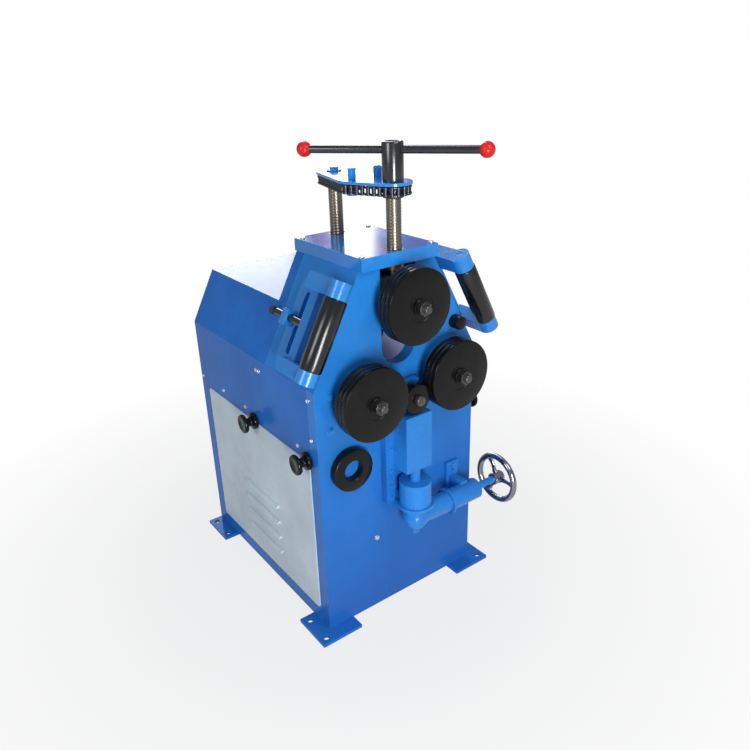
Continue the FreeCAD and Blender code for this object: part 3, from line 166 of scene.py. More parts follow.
class Wire:
    """A node's socket that adds its Math nodes when it is used in a sum."""

    def __init__(self, maker, socket):
        self.maker = maker
        self.socket = socket

    def worked(self, operation, *values):
        return self.maker.node("ShaderNodeMath", {"operation": operation}, dict(enumerate(values)))

    def __add__(self, other):
        return self.worked("ADD", self, other)

    __radd__ = __add__

    def __sub__(self, other):
        return self.worked("SUBTRACT", self, other)

    def __rsub__(self, other):
        return self.worked("SUBTRACT", other, self)

    def __mul__(self, other):
        return self.worked("MULTIPLY", self, other)

    __rmul__ = __mul__

    def __truediv__(self, other):
        return self.worked("DIVIDE", self, other)

    def __rtruediv__(self, other):
        return self.worked("DIVIDE", other, self)

    def above(self, level):
        """1 where the value is over a level, else 0."""
        return self.worked("GREATER_THAN", self, level)

    def greater(self, other):
        """The greater of two values."""
        return self.worked("MAXIMUM", self, other)

    def output(self, name):
        """Another output of the same node."""
        return Wire(self.maker, self.socket.node.outputs[name])


class NodeMaker:
    """Adds nodes to its own tree."""

    def give(self, socket, value):
        """A value or a link for a socket."""
        if isinstance(value, Wire):
            self.tree.links.new(value.socket, socket)
        else:
            socket.default_value = value

    def node(self, kind, set_first, values, output=0):
        """Any node: its settings, then the values or links of its sockets, a list where many links meet."""
        made = self.tree.nodes.new(kind)
        for key, value in set_first.items():
            setattr(made, key, value)
        for key, value in values.items():
            for item in value if isinstance(value, list) else [value]:
                self.give(made.inputs[key], item)
        return Wire(self, made.outputs[output])


class Shades(NodeMaker):
    """The node tree of one material or world."""

    def __init__(self, owner, coordinates="Object"):
        self.owner = owner
        owner.use_nodes = True
        self.tree = owner.node_tree
        self.tree.nodes.clear()
        self.place = self.node("ShaderNodeTexCoord", {}, {}, coordinates)

    def noise(self, scale, detail=3.0, roughness=0.55, stretch=None):
        """Noise from 0 to 1 over the piece, with grain size given by scale, per metre."""
        spot = self.place
        if stretch:
            spot = self.node("ShaderNodeMapping", {}, {"Vector": spot, "Scale": stretch})
        return self.node("ShaderNodeTexNoise", {}, {
            "Vector": spot, "Scale": scale, "Detail": detail, "Roughness": roughness})

    def mixed(self, share, first, second):
        """Two colours mixed by a share."""
        made = self.tree.nodes.new("ShaderNodeMix")
        made.data_type = "RGBA"
        sockets = {item.identifier: item for item in made.inputs}
        for key, value in (("Factor_Float", share), ("A_Color", first), ("B_Color", second)):
            self.give(sockets[key], value)
        output = next(item for item in made.outputs if item.identifier == "Result_Color")
        return Wire(self, output)

    def band(self, value, low, high):
        """A value spread from 0 to 1 between two levels."""
        return self.node("ShaderNodeMapRange", {"clamp": True}, {
            "Value": value, "From Min": low, "From Max": high, "To Min": 0.0, "To Max": 1.0})

    def bump(self, height, strength, distance):
        return self.node("ShaderNodeBump", {}, {
            "Height": height, "Strength": strength, "Distance": distance})

    def ended(self, shader, kind="ShaderNodeOutputMaterial"):
        """The owner, with its tree closed by a shader."""
        self.give(self.tree.nodes.new(kind).inputs["Surface"], shader)
        return self.owner

    def finish(self, values):
        """Principled surface from its socket values."""
        return self.ended(self.node("ShaderNodeBsdfPrincipled", {}, values))


def shade(colour, factor):
    """A colour made lighter or darker, with alpha."""
    return tuple(min(1.0, channel * factor) for channel in colour[:3]) + (1.0,)


def enamel(name, colour, gloss=0.24, relief=0.16, coat=0.1, shine=0.2, painted_shade=0.0):
    """Gloss enamel: slow colour drift, painted shade that darkens it towards the floor, orange peel, dust and
    small chips.
    """
    shades = Shades(bpy.data.materials.new(name))
    drift = shades.noise(5.0, 2.0)
    mottle = shades.noise(38.0, 5.0, 0.65)
    base = shades.mixed(shades.band(drift, 0.3, 0.7), shade(colour, 0.88), shade(colour, 1.12))
    base = shades.mixed(shades.band(mottle, 0.48, 0.78) * 0.3, base, shade(colour, 0.68))
    # Painted shade: the colour grows darker and deeper towards the floor, standing in for light that weakens
    # lower down.
    if painted_shade:
        level = shades.node("ShaderNodeSeparateXYZ", {}, {"Vector": shades.place}, "Z")
        painted_shade_share = shades.band(level, 0.80, 0.05)
        painted_shade_colour = (colour[0] * 0.7, colour[1] * 0.42, colour[2] * 0.62, 1.0)
        base = shades.mixed(painted_shade_share * painted_shade, base, painted_shade_colour)
    specks = shades.band(shades.noise(420.0, 2.0), 0.70, 0.78)
    base = shades.mixed(specks * 0.3, base, shade((0.03, 0.04, 0.06), 1.0))
    peel = shades.noise(150.0, 2.0)
    rough = gloss + mottle * 0.14 - 0.05
    return shades.finish({
        "Base Color": base, "Roughness": rough, "Coat Weight": coat, "Coat Roughness": 0.1,
        "Specular IOR Level": shine, "Normal": shades.bump(peel + drift * 2.0, relief, 0.0008)})


def steel(name, colour, gloss=0.3, lines=(1.0, 1.0, 1.0), scale=900.0, tone=0.35):
    """Machined steel: fine tool lines along one direction, oil film and a few stains."""
    shades = Shades(bpy.data.materials.new(name))
    grain = shades.noise(scale, 3.0, 0.6, stretch=lines)
    stain = shades.noise(22.0, 4.0, 0.6)
    base = shades.mixed(shades.band(stain, 0.4, 0.75) * tone, shade(colour, 1.0), shade(colour, 0.45))
    base = shades.mixed(shades.band(grain, 0.35, 0.65) * 0.4, base, shade(colour, 1.35))
    rough = gloss + stain * 0.2 + grain * 0.12 - 0.14
    return shades.finish({
        "Base Color": base, "Metallic": 0.92, "Roughness": rough,
        "Normal": shades.bump(grain, 0.12, 0.0003)})


def oiled_black(name, colour, gloss=0.3, shine=0.12):
    """Blackened hardened steel under oil, with worn lighter streaks."""
    shades = Shades(bpy.data.materials.new(name))
    grain = shades.noise(260.0, 4.0, 0.6)
    wear = shades.noise(30.0, 5.0, 0.7)
    base = shades.mixed(shades.band(wear, 0.5, 0.75) * 0.5, shade(colour, 1.0), shade(colour, 2.4))
    rough = gloss + wear * 0.24 - 0.08
    return shades.finish({
        "Base Color": base, "Metallic": 0.1, "Roughness": rough, "Specular IOR Level": shine,
        "Coat Weight": shine * 0.6, "Coat Roughness": 0.16, "Normal": shades.bump(grain, 0.12, 0.0004)})


def moulded(name, colour, gloss=0.22):
    """Moulded plastic with a faint sink pattern and handling marks."""
    shades = Shades(bpy.data.materials.new(name))
    swirl = shades.noise(60.0, 3.0)
    marks = shades.noise(300.0, 2.0)
    base = shades.mixed(shades.band(swirl, 0.35, 0.7) * 0.4, shade(colour, 1.0), shade(colour, 0.72))
    return shades.finish({
        "Base Color": base, "Roughness": gloss + marks * 0.12 - 0.04, "Specular IOR Level": 0.15,
        "Coat Weight": 0.1, "Coat Roughness": 0.08, "Normal": shades.bump(swirl, 0.05, 0.0006)})


def plated(name, colour=(0.72, 0.73, 0.75), gloss=0.1):
    """Bright plating with faint haze and finger marks."""
    shades = Shades(bpy.data.materials.new(name))
    haze = shades.noise(45.0, 4.0, 0.6)
    base = shades.mixed(shades.band(haze, 0.35, 0.8), shade(colour, 1.0), shade(colour, 0.8))
    return shades.finish({
        "Base Color": base, "Metallic": 1.0, "Roughness": gloss + haze * 0.12 - 0.03,
        "Normal": shades.bump(haze, 0.03, 0.0004)})


FINISHES = {}


def finishes():
    """Every finish of the machine, made once."""
    if FINISHES:
        return FINISHES
    own = settings()
    FINISHES.update({
        # Front and casting enamel carry painted shade towards the floor: 0.8 here, and the last value, 0.3,
        # of the casting enamel.
        "front": enamel("Front enamel", own.front_blue, 0.28, 0.3, painted_shade=0.8),
        "side": enamel("Side enamel", own.side_blue, 0.18, 0.1, 0.03, 0.08),
        "cover": enamel("Cover enamel", own.front_blue, 0.12, 0.04, 0.2, 0.35),
        "plate": enamel("Tie plate enamel", own.front_blue, 0.14, 0.05, 0.3, 0.5),
        "rail": enamel("Rail enamel", own.front_blue, 0.2, 0.4, 0.3, 0.4),
        "cast": enamel("Casting enamel", own.front_blue, 0.26, 0.6, 0.2, 0.3, 0.3),
        "door": enamel("Door enamel", own.door_grey, 0.4, 0.12),
        "motor": enamel("Motor enamel", (0.16, 0.18, 0.2), 0.4, 0.2),
        "roll": oiled_black("Oiled roll steel", own.roll_black, 0.2, 0.2),
        "tube": oiled_black("Guide roller black", (0.006, 0.006, 0.006), 0.16, 0.5),
        "screw": steel("Feed screw steel", (0.20, 0.175, 0.14), 0.26, (1.0, 1.0, 0.08)),
        "shaft": oiled_black("Dark shaft steel", (0.045, 0.042, 0.038), 0.2, 0.6),
        "machined": steel("Machined steel", (0.34, 0.33, 0.31), 0.3),
        "chain": steel("Chain steel", (0.050, 0.055, 0.066), 0.34, scale=300.0),
        # Pale violet of the slot's floor piece: a painted highlight, standing in for light that falls on that
        # floor.
        "slot_floor_highlight": enamel("Slot floor painted highlight", (0.50, 0.56, 0.96), 0.3, 0.1),
        "bronze": steel("Nut bronze", (0.5, 0.33, 0.13), 0.35),
        "lever": oiled_black("Lever black", (0.008, 0.008, 0.010), 0.16, 0.8),
        "knob": moulded("Knob black", (0.006, 0.006, 0.007), 0.16),
        "ball": moulded("Ball red", own.ball_red, 0.18),
        "chrome": plated("Handwheel chrome", (0.36, 0.37, 0.39), 0.1),
        "zinc": plated("Screw zinc", (0.82, 0.84, 0.87), 0.26),
    })
    return FINISHES


# Shapes

NODE_BODY = {node: body for body, nodes in frame["record"]["behaviour"]["bodies"].items() for node in nodes}


def put_in_scene(name, mesh, material, body, nodes=(), bevel=0.0):
    """A finished mesh as a piece that rides on its body and stands for its nodes."""
    piece = bpy.data.objects.new(name, mesh)
    bpy.context.scene.collection.objects.link(piece)
    mesh.materials.clear()
    mesh.materials.append(finishes()[material])
    if bevel:
        soft = piece.modifiers.new("Edge break", "BEVEL")
        soft.width = bevel
        soft.segments = 2
        soft.limit_method = "ANGLE"
        soft.angle_limit = SHARP
        soft.use_clamp_overlap = True
        soft.harden_normals = True
    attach(piece, body)
    if nodes:
        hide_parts(*nodes)
    return piece


def closed(mesh):
    """Smooth shading that stops at sharp edges."""
    mesh.polygons.foreach_set("use_smooth", [True] * len(mesh.polygons))
    mesh.set_sharp_from_angle(angle=SHARP)
    mesh.update()
    return mesh


def dressed(node, material, bevel=None):
    """A node's own shape, merged, smooth where it is round and with its edges broken."""
    mesh = frame["nodes"][node].data.copy()
    cage = bmesh.new()
    cage.from_mesh(mesh)
    bmesh.ops.remove_doubles(cage, verts=cage.verts, dist=0.000002)
    bmesh.ops.dissolve_limit(cage, angle_limit=FLAT, verts=cage.verts, edges=cage.edges)
    cage.to_mesh(mesh)
    cage.free()
    width = settings().edge_break if bevel is None else bevel
    return put_in_scene(node + "_finished", closed(mesh), material, NODE_BODY[node], [node], bevel=width)


def ring(cage, middle, along, radius, steps, turn=0.0):
    """A circle of vertices about an axis, or one vertex where it has no radius."""
    if radius < 1e-7:
        return [cage.verts.new(middle)]
    across = along.orthogonal().normalized()
    other = along.cross(across)
    angles = [turn + 2 * math.pi * index / steps for index in range(steps)]
    return [cage.verts.new(middle + (across * math.cos(angle) + other * math.sin(angle)) * radius)
            for angle in angles]


def skinned(cage, rings):
    """Faces from each ring of vertices to the next."""
    for first, second in zip(rings, rings[1:]):
        steps = max(len(first), len(second))
        for index in range(steps if steps > 1 else 0):
            after = (index + 1) % steps
            if len(first) == 1:
                corners = (first[0], second[index], second[after])
            elif len(second) == 1:
                corners = (first[index], second[0], first[after])
            else:
                corners = (first[index], second[index], second[after], first[after])
            cage.faces.new(corners)


def capped(cage, rings):
    """A skin over the rings, with a flat face at both ends."""
    skinned(cage, rings)
    cage.faces.new(rings[0])
    cage.faces.new(list(reversed(rings[-1])))


def turned(cage, profile, spot, along, steps=None):
    """Turn a closed (radius, height) profile about an axis through spot, into the cage."""
    axis = Vector(along).normalized()
    rings = [ring(cage, spot + axis * height, axis, radius, steps or settings().turned_steps)
             for radius, height in profile]
    skinned(cage, rings + rings[:1])


def prism(cage, sides, radius, low, high, spot, along, ease, turn):
    """Many-sided bar such as a nut, its outer corners eased at both ends."""
    axis = Vector(along).normalized()
    narrow, lower = radius * (1 - ease), radius * ease * 0.6
    levels = [(0.0, low), (narrow, low), (radius, low + lower),
              (radius, high - lower), (narrow, high), (0.0, high)]
    skinned(cage, [ring(cage, spot + axis * height, axis, reach, sides, turn) for reach, height in levels])


def from_cage(name, cage):
    """A cage as a mesh with its faces pointing outwards."""
    bmesh.ops.recalc_face_normals(cage, faces=cage.faces)
    mesh = bpy.data.meshes.new(name)
    cage.to_mesh(mesh)
    cage.free()
    return closed(mesh)


def turned_piece(name, parts, material, body, nodes=(), steps=None):
    """A piece turned from (profile in millimetres, spot, axis) parts."""
    cage = bmesh.new()
    for profile, spot, along in parts:
        turned(cage, metres(profile), spot, along, steps)
    return put_in_scene(name, from_cage(name, cage), material, body, nodes)


# Repeated pieces

class Grower(NodeMaker):
    """A Geometry Nodes tree with named inputs, which sets one small shape on every point of a mesh."""

    def __init__(self, name, inputs):
        self.tree = bpy.data.node_groups.new(name, "GeometryNodeTree")
        self.tree.interface.new_socket("Points", in_out="INPUT", socket_type="NodeSocketGeometry")
        self.sockets = {}
        kinds = {float: "NodeSocketFloat", int: "NodeSocketInt"}
        for label, value in inputs.items():
            socket = self.tree.interface.new_socket(
                label, in_out="INPUT", socket_type=kinds[type(value)])
            socket.default_value = value
            self.sockets[label] = socket.identifier
        self.tree.interface.new_socket("Grown", in_out="OUTPUT", socket_type="NodeSocketGeometry")
        self.given = self.tree.nodes.new("NodeGroupInput")

    def input(self, label):
        return Wire(self, self.given.outputs[label])

    def moved(self, shape, x, y, z):
        spot = self.node("ShaderNodeCombineXYZ", {}, {"X": x, "Y": y, "Z": z})
        return self.node("GeometryNodeTransform", {}, {"Geometry": shape, "Translation": spot})

    def joined(self, *shapes):
        return self.node("GeometryNodeJoinGeometry", {}, {"Geometry": list(shapes)})

    def drum(self, sides, radius, depth):
        """Short closed cylinder about its own middle."""
        return self.node("GeometryNodeMeshCylinder", {}, {
            "Vertices": sides, "Radius": radius, "Depth": depth})

    def attribute(self, name, kind):
        """A named value that the points carry."""
        return self.node("GeometryNodeInputNamedAttribute", {"data_type": kind}, {"Name": name})

    def planted(self, shape, selection=True):
        """The shape on each point, turned as the point's own attribute says."""
        return self.node("GeometryNodeInstanceOnPoints", {}, {
            "Points": self.input("Points"), "Instance": shape,
            "Rotation": self.attribute("turn", "FLOAT_VECTOR"), "Selection": selection})

    def closed_tree(self, shape, material):
        """End the tree with real meshes and their material."""
        real = self.node("GeometryNodeRealizeInstances", {}, {"Geometry": shape})
        self.material = material
        painted = self.node("GeometryNodeSetMaterial", {}, {
            "Geometry": real, "Material": finishes()[material]})
        self.give(self.tree.nodes.new("NodeGroupOutput").inputs["Grown"], painted)

    def grown(self, name, spots, sizes, marks=None):
        """Grow the tree over spots of (place, turn) and give back the plain mesh."""
        mesh = bpy.data.meshes.new(name)
        mesh.from_pydata([place for place, turn in spots], [], [])
        turns = mesh.attributes.new("turn", "FLOAT_VECTOR", "POINT")
        turns.data.foreach_set("vector", [angle for place, turn in spots for angle in turn])
        if marks:
            own = mesh.attributes.new("mark", "INT", "POINT")
            own.data.foreach_set("value", marks)
        holder = bpy.data.objects.new(name, mesh)
        bpy.context.scene.collection.objects.link(holder)
        grow = holder.modifiers.new("Grow", "NODES")
        grow.node_group = self.tree
        for label, value in sizes.items():
            grow[self.sockets[label]] = value
        graph = bpy.context.evaluated_depsgraph_get()
        plain_mesh = bpy.data.meshes.new_from_object(holder.evaluated_get(graph))
        holder.modifiers.remove(grow)
        bpy.data.objects.remove(holder)
        return plain_mesh


def head_tree(material):
    """Bolt or screw head with a thin washer and a socket sunk in its top."""
    grower = Grower("Heads", HEAD_SIZES)
    height = grower.input("Height")
    body = grower.drum(grower.input("Sides"), grower.input("Radius"), height)
    inset = grower.node("GeometryNodeExtrudeMesh", {"mode": "FACES"}, {
        "Mesh": body, "Selection": body.output("Top"), "Offset Scale": 0.0, "Individual": False})
    face = inset.output("Top")
    narrow = grower.node("GeometryNodeScaleElements", {"domain": "FACE"}, {
        "Geometry": inset, "Selection": face, "Scale": grower.input("Socket share")})
    sunk = grower.node("GeometryNodeExtrudeMesh", {"mode": "FACES"}, {
        "Mesh": narrow, "Selection": face, "Offset Scale": 0.0 - grower.input("Socket depth"),
        "Individual": False})
    thick = grower.input("Washer height")
    washer = grower.moved(grower.drum(24, grower.input("Washer"), thick), 0.0, 0.0, thick / 2)
    head = grower.joined(grower.moved(sunk, 0.0, 0.0, height / 2), washer)
    grower.closed_tree(grower.planted(head), material)
    return grower


def link_tree(material):
    """Roller chain: wide outer and narrow inner links in turn, each with its pins or rollers."""
    grower = Grower("Chain links", LINK_SIZES)
    pitch, plate, radius, roller, half, pin, tail = (grower.input(label) for label in LINK_SIZES)
    links = []
    for outer in (False, True):
        level = half + plate * 1.5 + 0.0001 if outer else half + plate * 0.5
        shapes = []
        for way in (-1, 1):
            for end in (-1, 1):
                shapes.append(grower.moved(
                    grower.drum(14, radius, plate), pitch * (0.5 * end), 0.0, level * way))
            waist = grower.node("GeometryNodeMeshCube", {}, {"Size": grower.node("ShaderNodeCombineXYZ", {}, {
                "X": pitch, "Y": radius * 1.45, "Z": plate * 0.98})})
            shapes.append(grower.moved(waist, 0.0, 0.0, level * way))
        for end in (-1, 1):
            tall = (half + plate * 2 + tail) * 2 if outer else half * 1.98
            shapes.append(grower.moved(
                grower.drum(12, pin if outer else roller, tall), pitch * (0.5 * end), 0.0, 0.0))
        marked = grower.attribute("mark", "INT").above(0.5)
        links.append(grower.planted(grower.joined(*shapes), marked if outer else 1.0 - marked))
    grower.closed_tree(grower.joined(*links), material)
    return grower


def belt_places(circles, count):
    """Places and headings of links spaced along a belt round circles given anticlockwise."""
    headings = []
    total = len(circles)
    for index in range(total):
        (x1, y1, r1), (x2, y2, r2) = circles[index], circles[(index + 1) % total]
        reach = math.hypot(x2 - x1, y2 - y1)
        headings.append(math.atan2(y2 - y1, x2 - x1) - math.acos((r1 - r2) / reach))
    outline = []
    arc_steps = 40
    for index in range(total):
        x, y, radius = circles[index]
        before, after = headings[index - 1], headings[index]
        sweep = (after - before) % (2 * math.pi)
        for step in range(arc_steps + 1):
            angle = before + sweep * step / arc_steps
            outline.append(Vector((x + radius * math.cos(angle), y + radius * math.sin(angle), 0)))
    lengths = [(outline[(n + 1) % len(outline)] - outline[n]).length for n in range(len(outline))]
    step = sum(lengths) / count
    pins = []
    walked, place = 0.0, 0
    for index in range(count):
        while walked + lengths[place] < index * step - 1e-9:
            walked += lengths[place]
            place += 1
        share = (index * step - walked) / lengths[place]
        pins.append(outline[place].lerp(outline[(place + 1) % len(outline)], share))
    spots = []
    for index in range(count):
        first, second = pins[index], pins[(index + 1) % count]
        forward = second - first
        spots.append(((first + second) / 2, math.atan2(forward.y, forward.x)))
    return spots


# Operators

class ROLLER_OT_stage(bpy.types.Operator):
    """Camera at the photograph's angle, pale floor and soft studio light"""
    bl_idname = "ring_roller.stage"
    bl_label = "Stage"

    def execute(self, context):
        self.camera(context.scene)
        self.floor()
        self.world(context.scene)
        own = settings()
        self.lamp("Key lamp", (0.1, -1.3, 1.9), (0.0, -0.25, 0.7), own.key_power, 0.8)
        self.lamp("Fill lamp", (-3.0, -0.45, 1.75), (0.0, 0.0, 0.5), own.fill_power, 1.2)
        self.lamp("Top lamp", (0.6, 1.4, 2.6), (0.0, 0.0, 0.8), own.top_power, 1.6, False)
        strip = self.lamp("Strip lamp", (-0.85, -2.10, 0.60), (0.0, -0.2, 0.8), own.strip_power, 0.5)
        strip.data.shape = "RECTANGLE"
        strip.data.size_y = 1.0
        return {"FINISHED"}

    def camera(self, scene):
        yaw, pitch, roll = (math.radians(angle) for angle in CAMERA_ANGLES)
        forward = Vector((
            math.sin(yaw) * math.cos(pitch), math.cos(yaw) * math.cos(pitch), -math.sin(pitch)))
        right = Vector((math.cos(yaw), -math.sin(yaw), 0.0))
        up = right.cross(forward)
        turned_right = right * math.cos(roll) - up * math.sin(roll)
        turned_up = right * math.sin(roll) + up * math.cos(roll)
        data = bpy.data.cameras.new("Camera")
        data.lens = CAMERA_LENS
        data.sensor_width = 36.0
        data.clip_end = 50.0
        camera = bpy.data.objects.new("Camera", data)
        rows = zip(turned_right, turned_up, -forward, CAMERA_PLACE)
        camera.matrix_world = Matrix((*rows, (0.0, 0.0, 0.0, 1.0)))
        scene.collection.objects.link(camera)
        scene.camera = camera
        scene.view_settings.view_transform = "Standard"

    def floor(self):
        cage = bmesh.new()
        bmesh.ops.create_grid(cage, x_segments=2, y_segments=2, size=14.0)
        mesh = bpy.data.meshes.new("Floor")
        cage.to_mesh(mesh)
        cage.free()
        plane = bpy.data.objects.new("Floor", mesh)
        bpy.context.scene.collection.objects.link(plane)
        shades = Shades(bpy.data.materials.new("Pale floor"))
        camera = shades.node("ShaderNodeLightPath", {}, {}, "Is Camera Ray")
        glossy, through = camera.output("Is Glossy Ray"), camera.output("Is Transmission Ray")
        apart = shades.node("ShaderNodeVectorMath", {"operation": "LENGTH"}, {0: shades.place}, "Value")
        share = camera * (0.80 + shades.band(apart, 0.45, 1.3) * 0.20) + (glossy + through) * 0.55
        matt = shades.node("ShaderNodeBsdfDiffuse", {}, {"Color": (0.36, 0.37, 0.40, 1.0)})
        glow = shades.node("ShaderNodeEmission", {}, {"Color": (1.0, 1.0, 1.0, 1.0)})
        mesh.materials.append(shades.ended(
            shades.node("ShaderNodeMixShader", {}, {0: share, 1: matt, 2: glow})))

    def world(self, scene):
        """White to the camera; to polished tops a pale room with bright windows and a dim far wall."""
        shades = Shades(bpy.data.worlds.new("Studio"), "Generated")
        x = shades.node("ShaderNodeSeparateXYZ", {}, {"Vector": shades.place}, "X")
        turn = x.worked("ARCTAN2", x, x.output("Y")) * (180 / math.pi)
        rise = x.worked("ARCSINE", x.output("Z")) * (180 / math.pi)
        low = shades.band(rise, 11.0, 9.5)
        window = shades.band(turn, 32.7, 33.5) * shades.band(turn, 36.6, 35.8)
        broad = shades.band(turn, 31.0, 32.5) * shades.band(turn, 39.0, 37.5) * low
        left = shades.band(turn, 16.0, 20.0) * shades.band(turn, 30.6, 29.4) * shades.band(rise, 6.0, 9.0)
        bright = window.greater(broad).greater(left * 1.7)
        hall = shades.band(turn, 28.0, 31.0) * shades.band(turn, 60.0, 50.0) * shades.band(rise, 3.0, 6.0)
        pale, dim, full = (0.80, 0.85, 0.95, 1.0), (0.34, 0.17, 0.38, 1.0), (1.0, 1.0, 1.0, 1.0)
        room = shades.mixed(bright, shades.mixed(hall, pale, dim), full)
        camera = shades.node("ShaderNodeLightPath", {}, {}, "Is Camera Ray")
        plain = shades.node("ShaderNodeBackground", {}, {"Color": pale, "Strength": 0.30})
        mirrored = shades.node("ShaderNodeBackground", {}, {
            "Color": room, "Strength": 0.4 + hall * 0.6 + bright * 3.6})
        white = shades.node("ShaderNodeBackground", {}, {"Color": full})
        glossy = camera.output("Is Glossy Ray")
        mix = shades.node("ShaderNodeMixShader", {}, {0: glossy, 1: plain, 2: mirrored})
        mix = shades.node("ShaderNodeMixShader", {}, {0: camera, 1: mix, 2: white})
        scene.world = shades.ended(mix, "ShaderNodeOutputWorld")

    def lamp(self, name, spot, target, power, size, mirrored=True):
        data = bpy.data.lights.new(name, "AREA")
        data.energy = power
        data.size = size
        lamp = bpy.data.objects.new(name, data)
        aim = Vector(target) - Vector(spot)
        lamp.matrix_world = Matrix.Translation(spot) @ aim.to_track_quat("-Z", "Y").to_matrix().to_4x4()
        lamp.visible_glossy = mirrored
        lamp.visible_camera = False
        bpy.context.scene.collection.objects.link(lamp)
        return lamp


class ROLLER_OT_cabinet(bpy.types.Operator):
    """Plates, panels, hood, cover and feet in gloss enamel"""
    bl_idname = "ring_roller.cabinet"
    bl_label = "Cabinet"

    def execute(self, context):
        for node in ("front_plate", "slide_base", "bearing_covers", "head_side_plates"):
            dressed(node, "front")
        for node in ("rear_frame_plate", "side_panels", "rear_panel", "hood", "foot_plates", "pan_and_shelf"):
            dressed(node, "side")
        dressed("top_cover", "cover", 0.0014)
        dressed("geared_motor", "motor")
        self.slot_floor_highlight()
        return {"FINISHED"}

    def slot_floor_highlight(self):
        """Round floor of the front slot, carried on behind the plate; its pale colour is a painted highlight
        on that floor.
        """
        cage = bmesh.new()
        inner, outer, near, far = 0.0446, 0.0475, -0.2394, -0.160
        steps = 40
        rings = []
        for step in range(steps + 1):
            angle = math.pi * (1 + step / steps)
            aim = Vector((math.cos(angle), 0, math.sin(angle)))
            rings.append([
                cage.verts.new(mm(0, 0, SLOT_FLOOR) + aim * reach + Vector((0, depth, 0)))
                for reach, depth in ((inner, near), (inner, far), (outer, far), (outer, near))])
        capped(cage, rings)
        put_in_scene("slot_floor_highlight_piece", from_cage("slot_floor_highlight_piece", cage), "slot_floor_highlight", "frame",
                     bevel=0.0004)


class ROLLER_OT_fasteners(bpy.types.Operator):
    """Blue bolts of the front plate and gib rails, and bright screws of the panels and cover"""
    bl_idname = "ring_roller.fasteners"
    bl_label = "Bolts and screws"

    def execute(self, context):
        self.bolts()
        self.screws()
        return {"FINISHED"}

    def heads(self, name, grower, spots, sizes, bevel, nodes=(), slot=None):
        """One piece of like heads: sides, radius, height, washer, its height, socket's share and depth."""
        mesh = grower.grown(name, spots, dict(zip(HEAD_SIZES, sizes)))
        put_in_scene(name, closed(mesh), grower.material, "frame", nodes, bevel)

    def bolts(self):
        grower = head_tree("cast")
        facing = (math.radians(90), 0.0, 0.0)
        large = [(mm(side * (SIDE - 34), FRONT, SHOULDER - drop), facing)
                 for side in (-1, 1) for drop in (94, 16)]
        small = [(mm(side * 45, GIB_FACE, LOWEST_GIB_BOLT + rise), facing)
                 for side in (-1, 1) for rise in (13, 42, 81, 135, 189)]
        self.heads("plate_bolt_heads", grower, large, (6, 0.008, 0.006, 0.0102, 0.0014, 0.6, 0.0006),
                   0.0005, ["frame_bolts"])
        self.heads("gib_bolt_heads", grower, small, (20, 0.0045, 0.004, 0.0052, 0.0006, 0.5, 0.0016),
                   0.0003, slot="front_blue")

    def screws(self):
        grower = head_tree("zinc")
        spots = [(mm(side * 87, FRONT + back, COVER_TOP), (0.0, 0.0, 0.0))
                 for side in (-1, 1) for back in (0, 217)]
        spots.append((mm(-74, FRONT, 199), (math.radians(90), 0.0, 0.0)))
        self.heads("cover_screw_heads", grower, spots, (24, 0.0055, 0.003, 0.0062, 0.0006, 0.5, 0.0014),
                   0.0004, ["panel_screws"])
        spots = [
            (mm(side * SIDE, FRONT + back, SHOULDER - drop), (0.0, math.radians(90 * side), 0.0))
            for side in (-1, 1)
            for back, drop in ((80, 148), (320, 148), (439, 148), (560, 148),
                               (21, 112), (25, 23), (231, 27), (243, 27))]
        self.heads("side_screw_heads", grower, spots, (20, 0.004, 0.003, 0.0048, 0.0005, 0.45, 0.0012),
                   0.0003, slot="zinc_screws")


class ROLLER_OT_doors(bpy.types.Operator):
    """Grey louvred doors on both sides"""
    bl_idname = "ring_roller.doors"
    bl_label = "Doors"

    def execute(self, context):
        dressed("side_doors", "door", 0.0006)
        return {"FINISHED"}


class ROLLER_OT_knobs(bpy.types.Operator):
    """Spool-shaped black knobs that hold the doors"""
    bl_idname = "ring_roller.knobs"
    bl_label = "Door knobs"

    def execute(self, context):
        profile = [
            (0, -22), (5, -22), (5, 0), (18, 0), (19.4, 0.6), (20, 2), (20, 6), (19, 8.4),
            (16, 9.4), (12, 10.6), (10.2, 13), (10, 17), (10.4, 21), (13, 23.6), (18, 24.6),
            (21.4, 25.6), (22.5, 27.6), (22.5, 30.6), (21.6, 32.8), (19, 34), (14, 34),
            (12.5, 33.2), (0, 33.2)]
        for side, word in ((-1, "left"), (1, "right")):
            for y, spot in ((37, "front"), (272, "rear")):
                node = f"door_knob_{word}_{spot}"
                spot = mm(side * KNOB_SEAT, FRONT + y, KNOB_LEVEL)
                turned_piece(node + "_turned", [(profile, spot, (side, 0, 0))],
                             "knob", NODE_BODY[node], [node])
        return {"FINISHED"}


